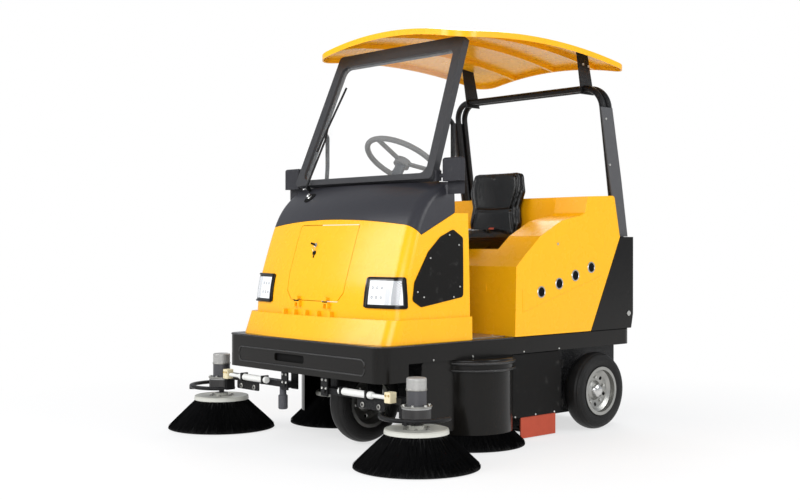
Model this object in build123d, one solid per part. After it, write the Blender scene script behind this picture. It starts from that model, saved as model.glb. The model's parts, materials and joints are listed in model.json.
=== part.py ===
from build123d import *
import math
import os

os.makedirs("parts", exist_ok=True)

# Millimetres. X is to the machine's left, Y to its rear, Z up from the floor.

# Half the width of the base, which all side pieces follow by the offsets written beside it
half_width = 537.5

# Running gear
wheel_radius = 180.0
tyre_width = 92.0
rim_radius = 113.0
bead_radius = 104.0
rim_wall = 5.0
rear_wheel_y = 526.0
rear_wheel_outer_x = half_width + 50.5
axle_radius = 22.0
stub_radius = 15.0
front_wheel_x = 96.0
front_wheel_y = -513.0
fork_gap = 10.0
fork_plate = 12.0
turntable_radius = 95.0
turntable_thickness = 16.0
running_gap = 0.3

# Chassis base, a tray turned upside down with a deep front bumper
base_half_width = half_width
base_front_y = -810.0
base_rear_y = 826.0
base_top_z = 460.0
base_band_bottom_z = 384.0
base_wall = 12.0
base_deck = 8.0
base_corner_radius = 55.0
bumper_bottom_z = 312.0
bumper_depth = 150.0
bumper_slot_left_x = -170.0
bumper_slot_right_x = 40.0
bumper_slot_low_z = 358.0
bumper_slot_high_z = 392.0
hitch_spacing = 200.0
hitch_z = 422.0
hitch_hole_radius = 6.5

# Sweeping brushes
brush_radius = 250.0
brush_disc_radius = 126.0
brush_disc_top_z = 151.0
brush_disc_thickness = 16.0
brush_floor_gap = 3.0
brush_hub_radius = 30.0
front_brush_x = half_width + 139.5
front_brush_y = -748.0
mid_brush_x = half_width - 106.5
mid_brush_y = -213.0
main_brush_radius = 130.0
main_brush_core_radius = 58.0
main_brush_y = 190.0

# Brush drives
motor_radius = 40.0
motor_bottom_z = 236.0
motor_top_z = 350.0
gearbox_radius = 58.0
gearbox_bottom_z = 190.0
brush_shaft_radius = 12.0
guard_ring_radius = 142.0
guard_tube_radius = 9.0
arm_pivot_x = 140.0
arm_y = -748.0
arm_z = 250.0
arm_height = 26.0
arm_depth = 44.0
arm_pin_radius = 10.0

# Lower body
housing_half_width = half_width - 71.5
housing_wall = 6.0
main_brush_half_length = housing_half_width - housing_wall - 22.0
housing_front_y = 48.0
housing_rear_y = 334.0
housing_bottom_z = 50.0
lower_rear_y = 775.0
lower_bottom_z = 80.0
bin_half_width = housing_half_width - 136.0
bin_bottom_z = 222.0
bin_top_z = 372.0
bin_front_y = 350.0
bin_wall = 4.0

# Mid brush covers, side doors and flaps
cover_radius = 196.0
cover_wall = 4.0
cover_lip = 9.0
cover_bottom_z = 65.0
cover_top_z = base_band_bottom_z - running_gap
cover_lip_bottom_z = 333.0
door_x = half_width - 7.5
door_thickness = 5.0
door_front_y = -34.0
door_rear_y = 290.0
door_bottom_z = 100.0
door_top_z = 380.0
flap_thickness = 5.0
flap_bottom_z = 5.0
flap_front_y = 24.0
flap_rear_y = 260.0
hinge_pin_radius = 4.0
hinge_barrel_radius = 8.0
hinge_length = 30.0
hinge_x = door_x + 2.0
hinge_y = door_rear_y + 12.0
hinge_levels = (door_bottom_z + 30, door_top_z - 70)

# Cab
cab_wall = 6.0
cab_rear_y = -280.0
cab_corner_radius = 58.0
cab_bow = 52.0
cab_step = 13.0
cab_step_z = 560.0
cab_bottom_z = base_top_z + running_gap
dash_rear_y = -357.0
dash_apex_y = -548.0
dash_apex_z = 906.0
dash_front_z = 985.0
dash_side_z = 1000.0
panel_gap = 3.0
hood_half_width = 200.0
hood_bottom_z = 625.0
hood_top_z = 950.0
hood_pin_y = -739.0
hood_pin_z = 617.0
hood_pin_radius = 2.5
hood_barrel_radius = 5.5
hood_barrel_half = 9.0
hood_hinge_x = 100.0
lamp_inner_x = half_width - 217.5
lamp_rear_y = -640.0
lamp_low_z = 611.0
lamp_high_z = 728.0

# Windscreen
screen_foot_y = -454.0
screen_foot_z = 1138.0
screen_head_y = -207.0
screen_head_z = 1773.0
screen_foot_half = half_width - 67.5
screen_head_half = half_width - 113.5
screen_post = 46.0
screen_head_beam = 62.0
screen_foot_beam = 28.0
screen_thickness = 34.0
glass_thickness = 5.0
screen_rise = math.hypot(screen_head_y - screen_foot_y, screen_head_z - screen_foot_z)
cab_top_z = screen_foot_z - screen_thickness / 2 * (screen_head_y - screen_foot_y) / screen_rise - running_gap

# Roof
roof_half_width = half_width - 37.5
roof_front_y = -335.0
roof_rear_y = 868.0
roof_crown_z = 1866.0
roof_edge_drop = 70.0
roof_end_drop = 78.0
roof_skin = 6.0
roof_rim = 26.0
roof_corner_radius = 110.0

# Rear box and rear shell
box_half_width = half_width + 3.5
box_wall = 6.0
box_bottom_z = base_top_z + running_gap
seat_deck_z = 845.0
seat_well_half = box_half_width - 191.0
seat_back_wall_y = 478.0
shell_rear_y = 830.0
shell_top_z = 903.0
hoop_half_width = half_width - 49.5
hoop_top_z = 1625.0
hoop_tube_radius = 15.0
hoop_corner_radius = 95.0
column_plate = 6.0
column_plate_x = hoop_half_width + hoop_tube_radius + running_gap

# Driver's place
steering_wheel_radius = 180.0
steering_wheel_tube = 13.0
steering_wheel_y = -200.0
steering_wheel_z = 1250.0
steering_foot_y = -350.0
steering_foot_z = 1015.0
column_radius = 24.0

front_reach_y = front_brush_y - brush_radius
centre_y = (front_reach_y + roof_rear_y) / 2


def box(x0, x1, y0, y1, z0, z1):
    """A block between two corners."""
    return Pos((x0 + x1) / 2, (y0 + y1) / 2, (z0 + z1) / 2) * Box(x1 - x0, y1 - y0, z1 - z0)


def rod_x(x0, x1, y, z, radius):
    """A round bar along X."""
    return Pos((x0 + x1) / 2, y, z) * Rot(0, 90, 0) * Cylinder(radius, x1 - x0)


def rod_y(x, y0, y1, z, radius):
    """A round bar along Y."""
    return Pos(x, (y0 + y1) / 2, z) * Rot(90, 0, 0) * Cylinder(radius, y1 - y0)


def rod_z(x, y, z0, z1, radius):
    """A round bar along Z."""
    return Pos(x, y, (z0 + z1) / 2) * Cylinder(radius, z1 - z0)


def outline(points, radius=0.0):
    """A flat face with all its corners rounded by one radius."""
    face = make_face(Polyline(*points, close=True))
    return fillet(face.vertices(), radius) if radius else face


def side_prism(points, x0, x1, radius=0.0):
    """A (y, z) outline pulled along X."""
    return Pos(x0, 0, 0) * extrude(Plane.YZ * outline(points, radius), x1 - x0)


def front_prism(points, y0, y1, radius=0.0):
    """An (x, z) outline pulled along Y."""
    return Pos(0, y1, 0) * extrude(Plane.XZ * outline(points, radius), y1 - y0)


def both_sides(shape):
    """The shape and its mirror image across the machine's centre plane."""
    return Compound(children=[shape, mirror(shape, about=Plane.YZ)])


def left_and_right(name, shape):
    save(name + "_left", shape)
    save(name + "_right", mirror(shape, about=Plane.YZ))


def save(name, shape):
    """Write one node, moved so that the machine's box is centred on Y."""
    export_step(Pos(0, -centre_y, 0) * shape, "parts/" + name + ".step")


def tube(points, radius, bends):
    """A round tube along straight runs joined by arcs."""
    path = FilletPolyline(*points, radius=bends)
    start = Plane(origin=path @ 0, z_dir=path % 0)
    return sweep(start * Circle(radius), path=path)


# Wheels

def tyre(x, y):
    """A pneumatic tyre turned about its axle, with a crowned tread and bulged walls."""
    half = tyre_width / 2
    bead = half - 12
    profile = make_face(
        Polyline((bead_radius, -bead), (bead_radius, bead), (rim_radius + 6, half - 5))
        + ThreePointArc((rim_radius + 6, half - 5), (148, half), (166, half - 6))
        + ThreePointArc((166, half - 6), (wheel_radius, 0), (166, 6 - half))
        + ThreePointArc((166, 6 - half), (148, -half), (rim_radius + 6, 5 - half))
        + Line((rim_radius + 6, 5 - half), (bead_radius, -bead))
    )
    ring = revolve(Plane.XZ * profile, Axis.Z)
    return Pos(x, y, wheel_radius) * Rot(0, 90, 0) * ring


def rim(x, y, outward):
    """A pressed steel rim: barrel, two flanges, a dished disc and a hub with its bore."""
    half = tyre_width / 2
    bead = half - 12
    barrel = bead_radius - running_gap
    ring = Cylinder(barrel, 2 * bead + 16) - Cylinder(barrel - rim_wall, 2 * bead + 17)
    for side in (-1, 1):
        flange = Cylinder(rim_radius, 4) - Cylinder(barrel - rim_wall, 5)
        ring += Pos(0, 0, side * (half - 5 + running_gap)) * flange
    dish_profile = make_face(
        Polyline((stub_radius + running_gap, 12), (34, 12), (46, 2), (82, 8), (100, 20), (100, 14),
                 (82, 2), (46, -6), (34, -20), (stub_radius + running_gap, -20), close=True)
    )
    dish = revolve(Plane.XZ * dish_profile, Axis.Z)
    for number in range(5):
        dish -= Rot(0, 0, number * 72) * Pos(66, 0, 0) * Cylinder(9, 60)
    return Pos(x, y, wheel_radius) * Rot(0, 90 * outward, 0) * (ring + dish)


def rear_axle():
    """A round axle on two drop plates from the deck."""
    inner = rear_wheel_outer_x - tyre_width
    axle = rod_x(-inner + 14, inner - 14, rear_wheel_y, wheel_radius, axle_radius)
    axle += rod_x(-rear_wheel_outer_x + 20, rear_wheel_outer_x - 20, rear_wheel_y, wheel_radius, stub_radius)
    for side in (-1, 1):
        x = side * (housing_half_width - 66)
        plate = box(x - 8, x + 8, rear_wheel_y - 70, rear_wheel_y + 70, 140, base_top_z - base_deck)
        axle += plate
    return axle


def front_fork():
    """A turntable with two plates that hold the front wheel's axle."""
    top = base_band_bottom_z + 20
    low = top - turntable_thickness
    reach = tyre_width / 2 + fork_gap
    fork = rod_z(front_wheel_x, front_wheel_y, low, top, turntable_radius)
    fork += rod_z(front_wheel_x, front_wheel_y, top, base_top_z - base_deck - 1, 30)
    for side in (-1, 1):
        x0 = front_wheel_x + side * reach
        x1 = x0 + side * fork_plate
        plate = side_prism(
            ((front_wheel_y - 60, low + 1), (front_wheel_y + 60, low + 1),
             (front_wheel_y + 32, wheel_radius - 34), (front_wheel_y - 32, wheel_radius - 34)),
            min(x0, x1), max(x0, x1), 14)
        fork += plate
    fork += rod_x(front_wheel_x - reach - fork_plate, front_wheel_x + reach + fork_plate,
                  front_wheel_y, wheel_radius, stub_radius)
    return fork


# Chassis

def base_outline(inset):
    half = base_half_width - inset
    face = make_face(Polyline((-half, base_front_y + inset), (half, base_front_y + inset),
                              (half, base_rear_y - inset), (-half, base_rear_y - inset), close=True))
    return fillet(face.vertices(), base_corner_radius - inset)


def chassis_base():
    """The black base: a deck with side bands, and a bumper that hangs lower at the front."""
    band = Pos(0, 0, base_band_bottom_z) * extrude(base_outline(0), base_top_z - base_band_bottom_z)
    band = fillet(band.edges().group_by(Axis.Z)[-1], 6)
    band -= Pos(0, 0, base_band_bottom_z - 1) * extrude(
        base_outline(base_wall), base_top_z - base_deck - base_band_bottom_z + 1)
    nose = extrude(base_outline(0) - base_outline(base_wall), base_top_z - bumper_bottom_z - 20)
    nose = Pos(0, 0, bumper_bottom_z) * nose
    nose &= box(-600, 600, base_front_y - 1, base_front_y + bumper_depth, bumper_bottom_z, base_top_z)
    base = band + nose
    slot = front_prism(
        ((bumper_slot_left_x, bumper_slot_low_z), (bumper_slot_right_x, bumper_slot_low_z),
         (bumper_slot_right_x, bumper_slot_high_z), (bumper_slot_left_x, bumper_slot_high_z)),
        base_front_y - 5, base_front_y + base_wall + 5, 12)
    base -= slot
    for x in (-hitch_spacing / 2, hitch_spacing / 2):
        base -= rod_y(x, base_rear_y - 2 * base_wall, base_rear_y + 5, hitch_z, hitch_hole_radius)
    return base


def floor_plate():
    """The metal floor between the cab and the seat box."""
    half = half_width - 52
    return box(-half, half, cab_rear_y - 110, -30, base_top_z + running_gap, base_top_z + 3)


def lower_frame():
    """The walls under the deck: the main brush housing and the box between the rear wheels."""
    top = base_top_z - base_deck
    inner = housing_half_width - housing_wall
    frame = box(-housing_half_width, housing_half_width, housing_front_y, housing_rear_y,
                housing_bottom_z, top)
    frame -= box(-inner, inner, housing_front_y + housing_wall, housing_rear_y - housing_wall,
                 housing_bottom_z - 1, top + 1)
    rear = box(-housing_half_width, housing_half_width, housing_rear_y - housing_wall, lower_rear_y,
               lower_bottom_z, top)
    rear -= box(-inner, inner, housing_rear_y, lower_rear_y - housing_wall, lower_bottom_z - 1, top + 1)
    frame += rear
    throat = box(-bin_half_width, bin_half_width, housing_rear_y - 2 * housing_wall, housing_rear_y + 1,
                 bin_bottom_z + 20, bin_top_z - 20)
    hatch = box(-bin_half_width - 8, bin_half_width + 8, lower_rear_y - 2 * housing_wall, lower_rear_y + 1,
                bin_bottom_z - 4 - running_gap, bin_top_z + 8)
    frame -= throat + hatch
    for side in (-1, 1):
        runner = box(side * bin_half_width - 18, side * bin_half_width + 18, housing_rear_y,
                     lower_rear_y - housing_wall, bin_bottom_z - running_gap - 14, bin_bottom_z - running_gap)
        frame += runner
    frame -= rod_x(-600, 600, rear_wheel_y, wheel_radius, axle_radius + 6)
    frame -= rod_x(-600, 600, main_brush_y, main_brush_radius + brush_floor_gap, brush_shaft_radius + running_gap)
    return frame


def dust_bin():
    """An open-topped dirt tray that draws out to the rear, with a pull handle on its front panel."""
    tray = box(-bin_half_width, bin_half_width, bin_front_y, lower_rear_y - housing_wall, bin_bottom_z, bin_top_z)
    tray -= box(-bin_half_width + bin_wall, bin_half_width - bin_wall, bin_front_y - 1,
                lower_rear_y - housing_wall - bin_wall, bin_bottom_z + bin_wall, bin_top_z + 1)
    face = box(-bin_half_width - 4, bin_half_width + 4, lower_rear_y - housing_wall, lower_rear_y,
               bin_bottom_z - 4, bin_top_z + 4)
    grip = tube(((-70, lower_rear_y - 1, 300), (-70, lower_rear_y + 34, 300), (70, lower_rear_y + 34, 300),
                 (70, lower_rear_y - 1, 300)), 6, 14)
    return tray + face + grip


def battery_block():
    """The battery pack under the seat, as one plain block."""
    return box(-260, 260, 90, 430, base_top_z + running_gap, base_top_z + 264)


# Sweeping gear

def side_brush(x, y):
    """A disc brush: a round plate with a skirt of bristles that flares to the floor."""
    low = brush_floor_gap
    rim_z = brush_disc_top_z - brush_disc_thickness
    profile = make_face(
        Polyline((0, brush_disc_top_z + 14), (brush_hub_radius, brush_disc_top_z + 14),
                 (brush_hub_radius, brush_disc_top_z), (brush_disc_radius, brush_disc_top_z),
                 (brush_disc_radius, rim_z), (brush_disc_radius - 6, rim_z))
        + ThreePointArc((brush_disc_radius - 6, rim_z), (176, 67), (brush_radius, low))
        + Line((brush_radius, low), (brush_radius - 22, low))
        + ThreePointArc((brush_radius - 22, low), (146, 56), (brush_disc_radius - 46, rim_z - 10))
        + Polyline((brush_disc_radius - 46, rim_z - 10), (0, rim_z - 10), (0, brush_disc_top_z + 14))
    )
    return Pos(x, y, 0) * revolve(Plane.XZ * profile, Axis.Z)


def brush_drive(x, y):
    """A motor on its gearbox, standing on the brush's axis."""
    drive = rod_z(x, y, motor_bottom_z - 1, motor_top_z, motor_radius)
    drive = fillet(drive.edges().group_by(Axis.Z)[-1], 7)
    drive += rod_z(x, y, gearbox_bottom_z, motor_bottom_z, gearbox_radius)
    drive += rod_z(x, y, brush_disc_top_z + 14 + running_gap, gearbox_bottom_z + 1, brush_shaft_radius)
    return drive


def brush_arm():
    """The left front arm: a box beam from its pivot to the gearbox, and a curved guard tube."""
    end_x = front_brush_x - gearbox_radius - 6
    beam = box(arm_pivot_x - 20, end_x, arm_y - arm_depth / 2, arm_y + arm_depth / 2,
               arm_z - arm_height / 2, arm_z + arm_height / 2)
    beam -= box(arm_pivot_x + 30, end_x - 20, arm_y - arm_depth / 2 + 5, arm_y + arm_depth / 2 - 5,
                arm_z - arm_height / 2 - 1, arm_z + arm_height / 2 - 5)
    beam -= rod_y(arm_pivot_x, arm_y - 40, arm_y + 40, arm_z, arm_pin_radius + running_gap)
    seat_low = gearbox_bottom_z - 6
    collar = rod_z(front_brush_x, front_brush_y, seat_low, gearbox_bottom_z - running_gap, gearbox_radius + 6)
    collar -= rod_z(front_brush_x, front_brush_y, seat_low - 1, gearbox_bottom_z + 1, brush_shaft_radius + 4)
    drop = box(end_x - 14, end_x, arm_y - arm_depth / 2, arm_y + arm_depth / 2, seat_low, arm_z)
    shelf = box(end_x - 14, front_brush_x - 40, arm_y - arm_depth / 2, arm_y + arm_depth / 2,
                seat_low, gearbox_bottom_z - running_gap)
    beam += collar + drop + shelf
    ring_z = gearbox_bottom_z + guard_tube_radius
    arc = CenterArc((front_brush_x, front_brush_y), guard_ring_radius, -150, 170)
    path = Pos(0, 0, ring_z) * arc
    start = Plane(origin=path @ 0, z_dir=path % 0)
    guard = sweep(start * Circle(guard_tube_radius), path=path)
    spoke = Pos(front_brush_x, front_brush_y, 0) * Rot(0, 0, -60) * box(
        40, guard_ring_radius, -14, 14, seat_low, gearbox_bottom_z - running_gap)
    post = Pos(front_brush_x, front_brush_y, 0) * Rot(0, 0, -60) * rod_z(
        guard_ring_radius, 0, seat_low, ring_z, 9)
    return beam + guard + spoke + post


def arm_bracket():
    """Ears under the bumper with the pin that each front arm turns on."""
    low = arm_z - 22
    top = base_top_z - base_deck
    ears = Compound(children=[
        box(arm_pivot_x - 22, arm_pivot_x + 22, arm_y - arm_depth / 2 - 9, arm_y - arm_depth / 2 - 1, low, top),
        box(arm_pivot_x - 22, arm_pivot_x + 22, arm_y + arm_depth / 2 + 1, arm_y + arm_depth / 2 + 9, low, top),
    ])
    pin = rod_y(arm_pivot_x, arm_y - arm_depth / 2 - 14, arm_y + arm_depth / 2 + 14, arm_z, arm_pin_radius)
    return pin + ears.children[0] + ears.children[1]


def main_brush():
    """The wide roller brush across the machine: a core with its stub shafts and bristles."""
    z = main_brush_radius + brush_floor_gap
    length = main_brush_half_length
    roller = rod_x(-length, length, main_brush_y, z, main_brush_radius)
    for number in range(12):
        groove = Pos(0, main_brush_y, z) * Rot(number * 30, 0, 0) * Pos(0, main_brush_radius + 6, 0) * Box(
            2 * length + 2, 60, 14)
        roller -= groove
    roller += rod_x(-housing_half_width - 4, housing_half_width + 4, main_brush_y, z, brush_shaft_radius)
    return roller


def brush_cover():
    """The left curved cover over the mid brush: a part drum with a rolled lip at its top."""
    def drum(radius, low, high):
        return rod_z(mid_brush_x, mid_brush_y, low, high, radius)

    shell = drum(cover_radius, cover_bottom_z, cover_top_z) - drum(
        cover_radius - cover_wall, cover_bottom_z - 1, cover_top_z - cover_wall)
    roll = drum(cover_radius + cover_lip, cover_lip_bottom_z, cover_top_z)
    roll = fillet(roll.edges(), cover_lip - 1)
    roll -= drum(cover_radius - cover_wall, cover_bottom_z, cover_top_z - cover_wall)
    keep = box(mid_brush_x + 52, mid_brush_x + 300, mid_brush_y - 300, door_front_y - 8, 0, 500)
    return (shell + roll) & keep


def side_door():
    """The left side door by the main brush, hinged at its rear edge."""
    door = box(door_x, door_x + door_thickness, door_front_y, door_rear_y, door_bottom_z, door_top_z)
    for z in hinge_levels:
        barrel = rod_z(hinge_x, hinge_y, z, z + hinge_length, hinge_barrel_radius)
        barrel += box(door_x, door_x + door_thickness, door_rear_y - 1, hinge_y, z, z + hinge_length)
        barrel -= rod_z(hinge_x, hinge_y, z - 1, z + hinge_length + 1, hinge_pin_radius + running_gap)
        door += barrel
    return door


def door_hinges():
    """The left door's fixed pins, on a strip behind its rear edge that the housing carries."""
    post = box(housing_half_width + running_gap, hinge_x - hinge_barrel_radius - 5, hinge_y - 12, hinge_y + 12,
               door_bottom_z, base_band_bottom_z - running_gap)
    for z in hinge_levels:
        post += box(hinge_x - hinge_barrel_radius - 6, hinge_x, hinge_y - 5, hinge_y + 5, z - 9, z - 1)
        post += rod_z(hinge_x, hinge_y, z - 9, z + hinge_length, hinge_pin_radius)
    return post


def door_flap():
    """The red rubber strip below the side door, cut back round the mid brush."""
    flap = box(door_x - flap_thickness - 1, door_x - running_gap, flap_front_y, flap_rear_y,
               flap_bottom_z, door_bottom_z + 22)
    return flap


# Cab

cab_sections = (
    # height, front y in the middle, half width at the front corner and at the rear edge
    (cab_bottom_z, -786.0, half_width - 37.5, half_width - 21.5),
    (610.0, -732.0, half_width - 39.5, half_width - 23.5),
    (730.0, -712.0, half_width - 41.5, half_width - 25.5),
    (860.0, -672.0, half_width - 45.5, half_width - 29.5),
    (990.0, -620.0, half_width - 47.5, half_width - 33.5),
    (1070.0, -556.0, half_width - 47.5, half_width - 35.5),
    (cab_top_z, -470.0, half_width - 53.5, half_width - 41.5),
)


def cab_outline(section, grow):
    z, front, half_front, half_rear = section
    front -= grow
    half_front += grow
    half_rear += grow
    rear = cab_rear_y + 120
    edges = ThreePointArc((-half_front, front + cab_bow), (0, front), (half_front, front + cab_bow))
    edges += Polyline((half_front, front + cab_bow), (half_rear, rear), (-half_rear, rear),
                      (-half_front, front + cab_bow))
    face = make_face(edges)
    corners = face.vertices().group_by(Axis.Y)[0]
    return Pos(0, 0, z) * fillet(corners, cab_corner_radius + grow)


def cab_body(grow):
    """The cab's smooth outer form, grown or shrunk by a wall."""
    return loft([cab_outline(section, grow) for section in cab_sections])


def cab_skirt(grow):
    """The proud lower part of the cab, up to the moulded step."""
    low = cab_sections[0]
    share = (cab_step_z - low[0]) / (cab_sections[1][0] - low[0])
    high = tuple(a + (b - a) * share for a, b in zip(low, cab_sections[1]))
    return loft([cab_outline(low, grow + cab_step), cab_outline(high, grow + cab_step)])


def dash_region(gap):
    """The space above the line where the dark dash meets the yellow cab, seen from the side."""
    return side_prism(((-900, 1300), (-900, dash_front_z + gap + 220), (-640, dash_front_z + gap),
                       (dash_apex_y, dash_apex_z + gap), (dash_rear_y, dash_side_z + gap),
                       (0, dash_side_z + gap), (0, 1300)), -700, 700)


def hood_prism(gap):
    """The outline of the front hood, with its lower corners rounded."""
    half = hood_half_width + gap
    low = hood_bottom_z - gap
    high = hood_top_z + gap
    return front_prism(((-half + 42, low), (half - 42, low), (half - 6, low + 40), (half, low + 120),
                        (half, high), (-half, high), (-half, low + 120), (-half + 6, low + 40)),
                       -900, -500, 12)


def hood_hinge(x):
    """One small hinge under the hood: the hood's barrel with its leaf, and the cab's pin with its knuckles."""
    wide = hood_barrel_half
    y, z = hood_pin_y, hood_pin_z
    barrel = rod_x(x - wide, x + wide, y, z, hood_barrel_radius)
    barrel += box(x - wide, x + wide, y - hood_barrel_radius, y - 1, z, z + 24)
    barrel += box(x - wide, x + wide, y - 2, y + 16, z + 12, z + 24)
    barrel -= rod_x(x - wide - 1, x + wide + 1, y, z, hood_pin_radius + running_gap)
    pin = rod_x(x - wide - 10, x + wide + 10, y, z, hood_pin_radius)
    for side in (-1, 1):
        low, high = sorted((x + side * (wide + 1), x + side * (wide + 10)))
        pin += rod_x(low, high, y, z, hood_barrel_radius)
        pin += box(low, high, y - hood_barrel_radius, y + 11, z - 22, z)
    return barrel, pin


def lamp_block(gap):
    """The left lamp's pocket round the front corner."""
    return box(lamp_inner_x - gap, 700, -900, lamp_rear_y + gap, lamp_low_z - gap, lamp_high_z + gap)


def cab_parts():
    """Cab shell, hood, lamps, side cover panels and dash, all cut from one skin."""
    outer = cab_body(0)
    inner = cab_body(-cab_wall)
    skin = outer + cab_skirt(0) - inner
    skin -= box(-700, 700, cab_rear_y, 0, 0, 2000)
    shell = skin - dash_region(0)
    hood = (shell & hood_prism(0))
    shell -= hood_prism(panel_gap)
    for x in (-hood_hinge_x, hood_hinge_x):
        barrel, pin = hood_hinge(x)
        hood += barrel
        shell += pin
    lamp_form = cab_body(5) - cab_body(-22)
    lamp = lamp_form & lamp_block(0)
    for side_lamp in (lamp_block(panel_gap), mirror(lamp_block(panel_gap), about=Plane.YZ)):
        shell -= side_lamp
    leaf = side_prism(((-371, 931), (-316, 896), (-322, 645), (-560, 609), (-606, 637), (-594, 712),
                       (-514, 837), (-443, 900)), 400, 700, 16)
    panel = (cab_body(4) - cab_body(running_gap)) & leaf
    dash = (outer - inner - box(-700, 700, dash_rear_y, 0, 0, 2000)) & dash_region(2)
    top = (cab_body(-cab_wall + 1) & box(-700, 700, -800, dash_rear_y, cab_top_z - 8, cab_top_z))
    knee = (cab_body(-cab_wall + 1) & box(-700, 700, dash_rear_y - 6, dash_rear_y, dash_side_z + 4, cab_top_z))
    knee -= rod_between((0, steering_foot_y - 60, steering_foot_z - 90),
                        (0, steering_wheel_y, steering_wheel_z), column_radius + 6)
    dash = dash + top + knee
    ribs = None
    for number in range(5):
        x = -195 + number * 82.0
        rib = cab_body(cab_step + 5) & box(x - 9, x + 9, -900, -600, 485, 582)
        rib -= inner
        shell += rib
    return shell, hood, lamp, panel, dash


def rod_between(start, end, radius):
    """A round bar between two points."""
    path = Line(start, end)
    return sweep(Plane(origin=path @ 0, z_dir=path % 0) * Circle(radius), path=path)


# Windscreen

screen_plane = Plane(
    origin=(0, screen_foot_y, screen_foot_z), x_dir=(1, 0, 0),
    z_dir=(0, -(screen_head_z - screen_foot_z), screen_head_y - screen_foot_y))


def screen_opening(gap):
    face = outline(((-screen_foot_half + screen_post + gap, screen_foot_beam + gap),
                    (screen_foot_half - screen_post - gap, screen_foot_beam + gap),
                    (screen_head_half - screen_post - gap, screen_rise - screen_head_beam - gap),
                    (-screen_head_half + screen_post + gap, screen_rise - screen_head_beam - gap)), 34)
    return screen_plane * face


def screen_slab(grow):
    face = outline(((-screen_foot_half - grow, -grow), (screen_foot_half + grow, -grow),
                    (screen_head_half + grow, screen_rise + grow), (-screen_head_half - grow, screen_rise + grow)),
                   20 + grow)
    return extrude(screen_plane * face, screen_thickness / 2 + grow, both=True)


def windscreen_frame():
    return screen_slab(0) - extrude(screen_opening(0), screen_thickness, both=True)


def windscreen_glass():
    return extrude(screen_opening(running_gap), glass_thickness / 2, both=True)


def wiper():
    """One wiper from its boss on the dash, its arm and its blade held just off the glass."""
    normal = Vector(0, -(screen_head_z - screen_foot_z), screen_head_y - screen_foot_y).normalized()

    def at(x, rise, off):
        share = rise / screen_rise
        point = Vector(x, screen_foot_y + share * (screen_head_y - screen_foot_y),
                       screen_foot_z + share * (screen_head_z - screen_foot_z))
        return point + normal * off

    pivot = at(-350, -14, 34)
    elbow = at(-330, 230, 26)
    arm = rod_between(at(-350, -24, 10), pivot, 9) + rod_between(pivot, elbow, 5)
    blade = rod_between(at(-372, 170, 22), at(-296, 500, 22), 5)
    return arm + blade + rod_between(elbow, at(-345, 290, 22), 5)


def mirrors():
    """Two rear-view mirrors on their short brackets."""
    x = screen_foot_half + 78
    housing = Pos(x, -415, 1152) * Box(112, 34, 158)
    housing = fillet(housing.edges(), 12)
    stalk = rod_between((x, -415, 1156), (screen_foot_half - 20, -436, 1156), 9)
    foot = Pos(screen_foot_half + 4, -436, 1156) * Box(16, 30, 44)
    mirror_set = housing + stalk + foot
    mirror_set -= screen_slab(running_gap) + box(0, 700, -500, -400, 900, cab_top_z + running_gap)
    return both_sides(mirror_set.solids().sort_by(Axis.X)[-1])


def grab_rails():
    """A bent rail on each side, from the windscreen post down to the dash."""
    x = screen_foot_half - 40
    rail = tube(((x, -345, 1424), (x, -302, 1386), (x, -302, 1239), (x, -316, 1060),
                 (x, dash_rear_y - 2, 1040)), 10, 18)
    rail -= screen_slab(running_gap) + box(x - 30, x + 30, -500, dash_rear_y + running_gap, 1000, 1120)
    return both_sides(rail)


# Driver's place

def steering_column():
    """The column from the dash to just below the wheel."""
    low = Vector(0, steering_foot_y - 60, steering_foot_z - 90)
    high = Vector(0, steering_wheel_y, steering_wheel_z)
    end = low + (high - low) * 0.93
    column = rod_between(tuple(low), tuple(end), column_radius)
    column += rod_between((0, low.Y, low.Z), (0, -470, base_top_z), 22)
    return column - box(-50, 50, -600, -300, base_top_z - 50, base_top_z + 3 + running_gap)


def steering_wheel():
    """A round wheel with three spokes and a hub, square to the column."""
    low = Vector(0, steering_foot_y - 60, steering_foot_z - 90)
    high = Vector(0, steering_wheel_y, steering_wheel_z)
    axis = (high - low).normalized()
    ring = Torus(steering_wheel_radius, steering_wheel_tube)
    hub = Cylinder(38, 30)
    wheel = ring + Pos(0, 0, -8) * hub
    for angle in (-90, 30, 150):
        spoke = Rot(0, 0, angle) * Pos(steering_wheel_radius / 2, 0, -5) * Box(steering_wheel_radius, 26, 10)
        wheel += spoke
    return Plane(origin=high, x_dir=(1, 0, 0), z_dir=axis) * wheel


def pedals():
    """The drive pedal and the brake pedal on the cab floor."""
    pads = []
    for x in (150, -140):
        pad = Pos(x, -560, 520) * Rot(35, 0, 0) * Box(90, 150, 10)
        pad += box(x - 8, x + 8, -560, -540, base_top_z + 3, 520)
        pads.append(pad)
    return Compound(children=pads)


# Rear body

box_profile = ((-26, box_bottom_z), (-19, 769), (41, 822), (144, 905), (286, 975), (433, 1003),
               (459, 1015), (478, 1092), (680, 1100), (724, 902), (502, box_bottom_z))


def rear_box():
    """The yellow seat box: two side bolsters, the seat deck, and the wall behind the seat."""
    body = side_prism(box_profile, -box_half_width, box_half_width)
    body = fillet(body.edges().filter_by(Axis.X).group_by(Axis.Z)[-1], 18)
    well = box(-seat_well_half, seat_well_half, -200, seat_back_wall_y, seat_deck_z, 1300)
    hollow = side_prism(((-26 + box_wall, box_bottom_z - 1), (-19 + box_wall, 766), (46, 816), (147, 898),
                         (288, 968), (437, 996), (466, 1010), (484, 1085), (674, 1093), (717, 903),
                         (494, box_bottom_z - 1)), -box_half_width + box_wall, box_half_width - box_wall)
    well_wall = box(-seat_well_half - box_wall, seat_well_half + box_wall, -300, seat_back_wall_y + box_wall,
                    seat_deck_z - box_wall, 1400)
    body = body - (hollow - well_wall) - well
    recess = box(362, 452, -40, -12, 655, 690)
    return body - recess


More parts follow.
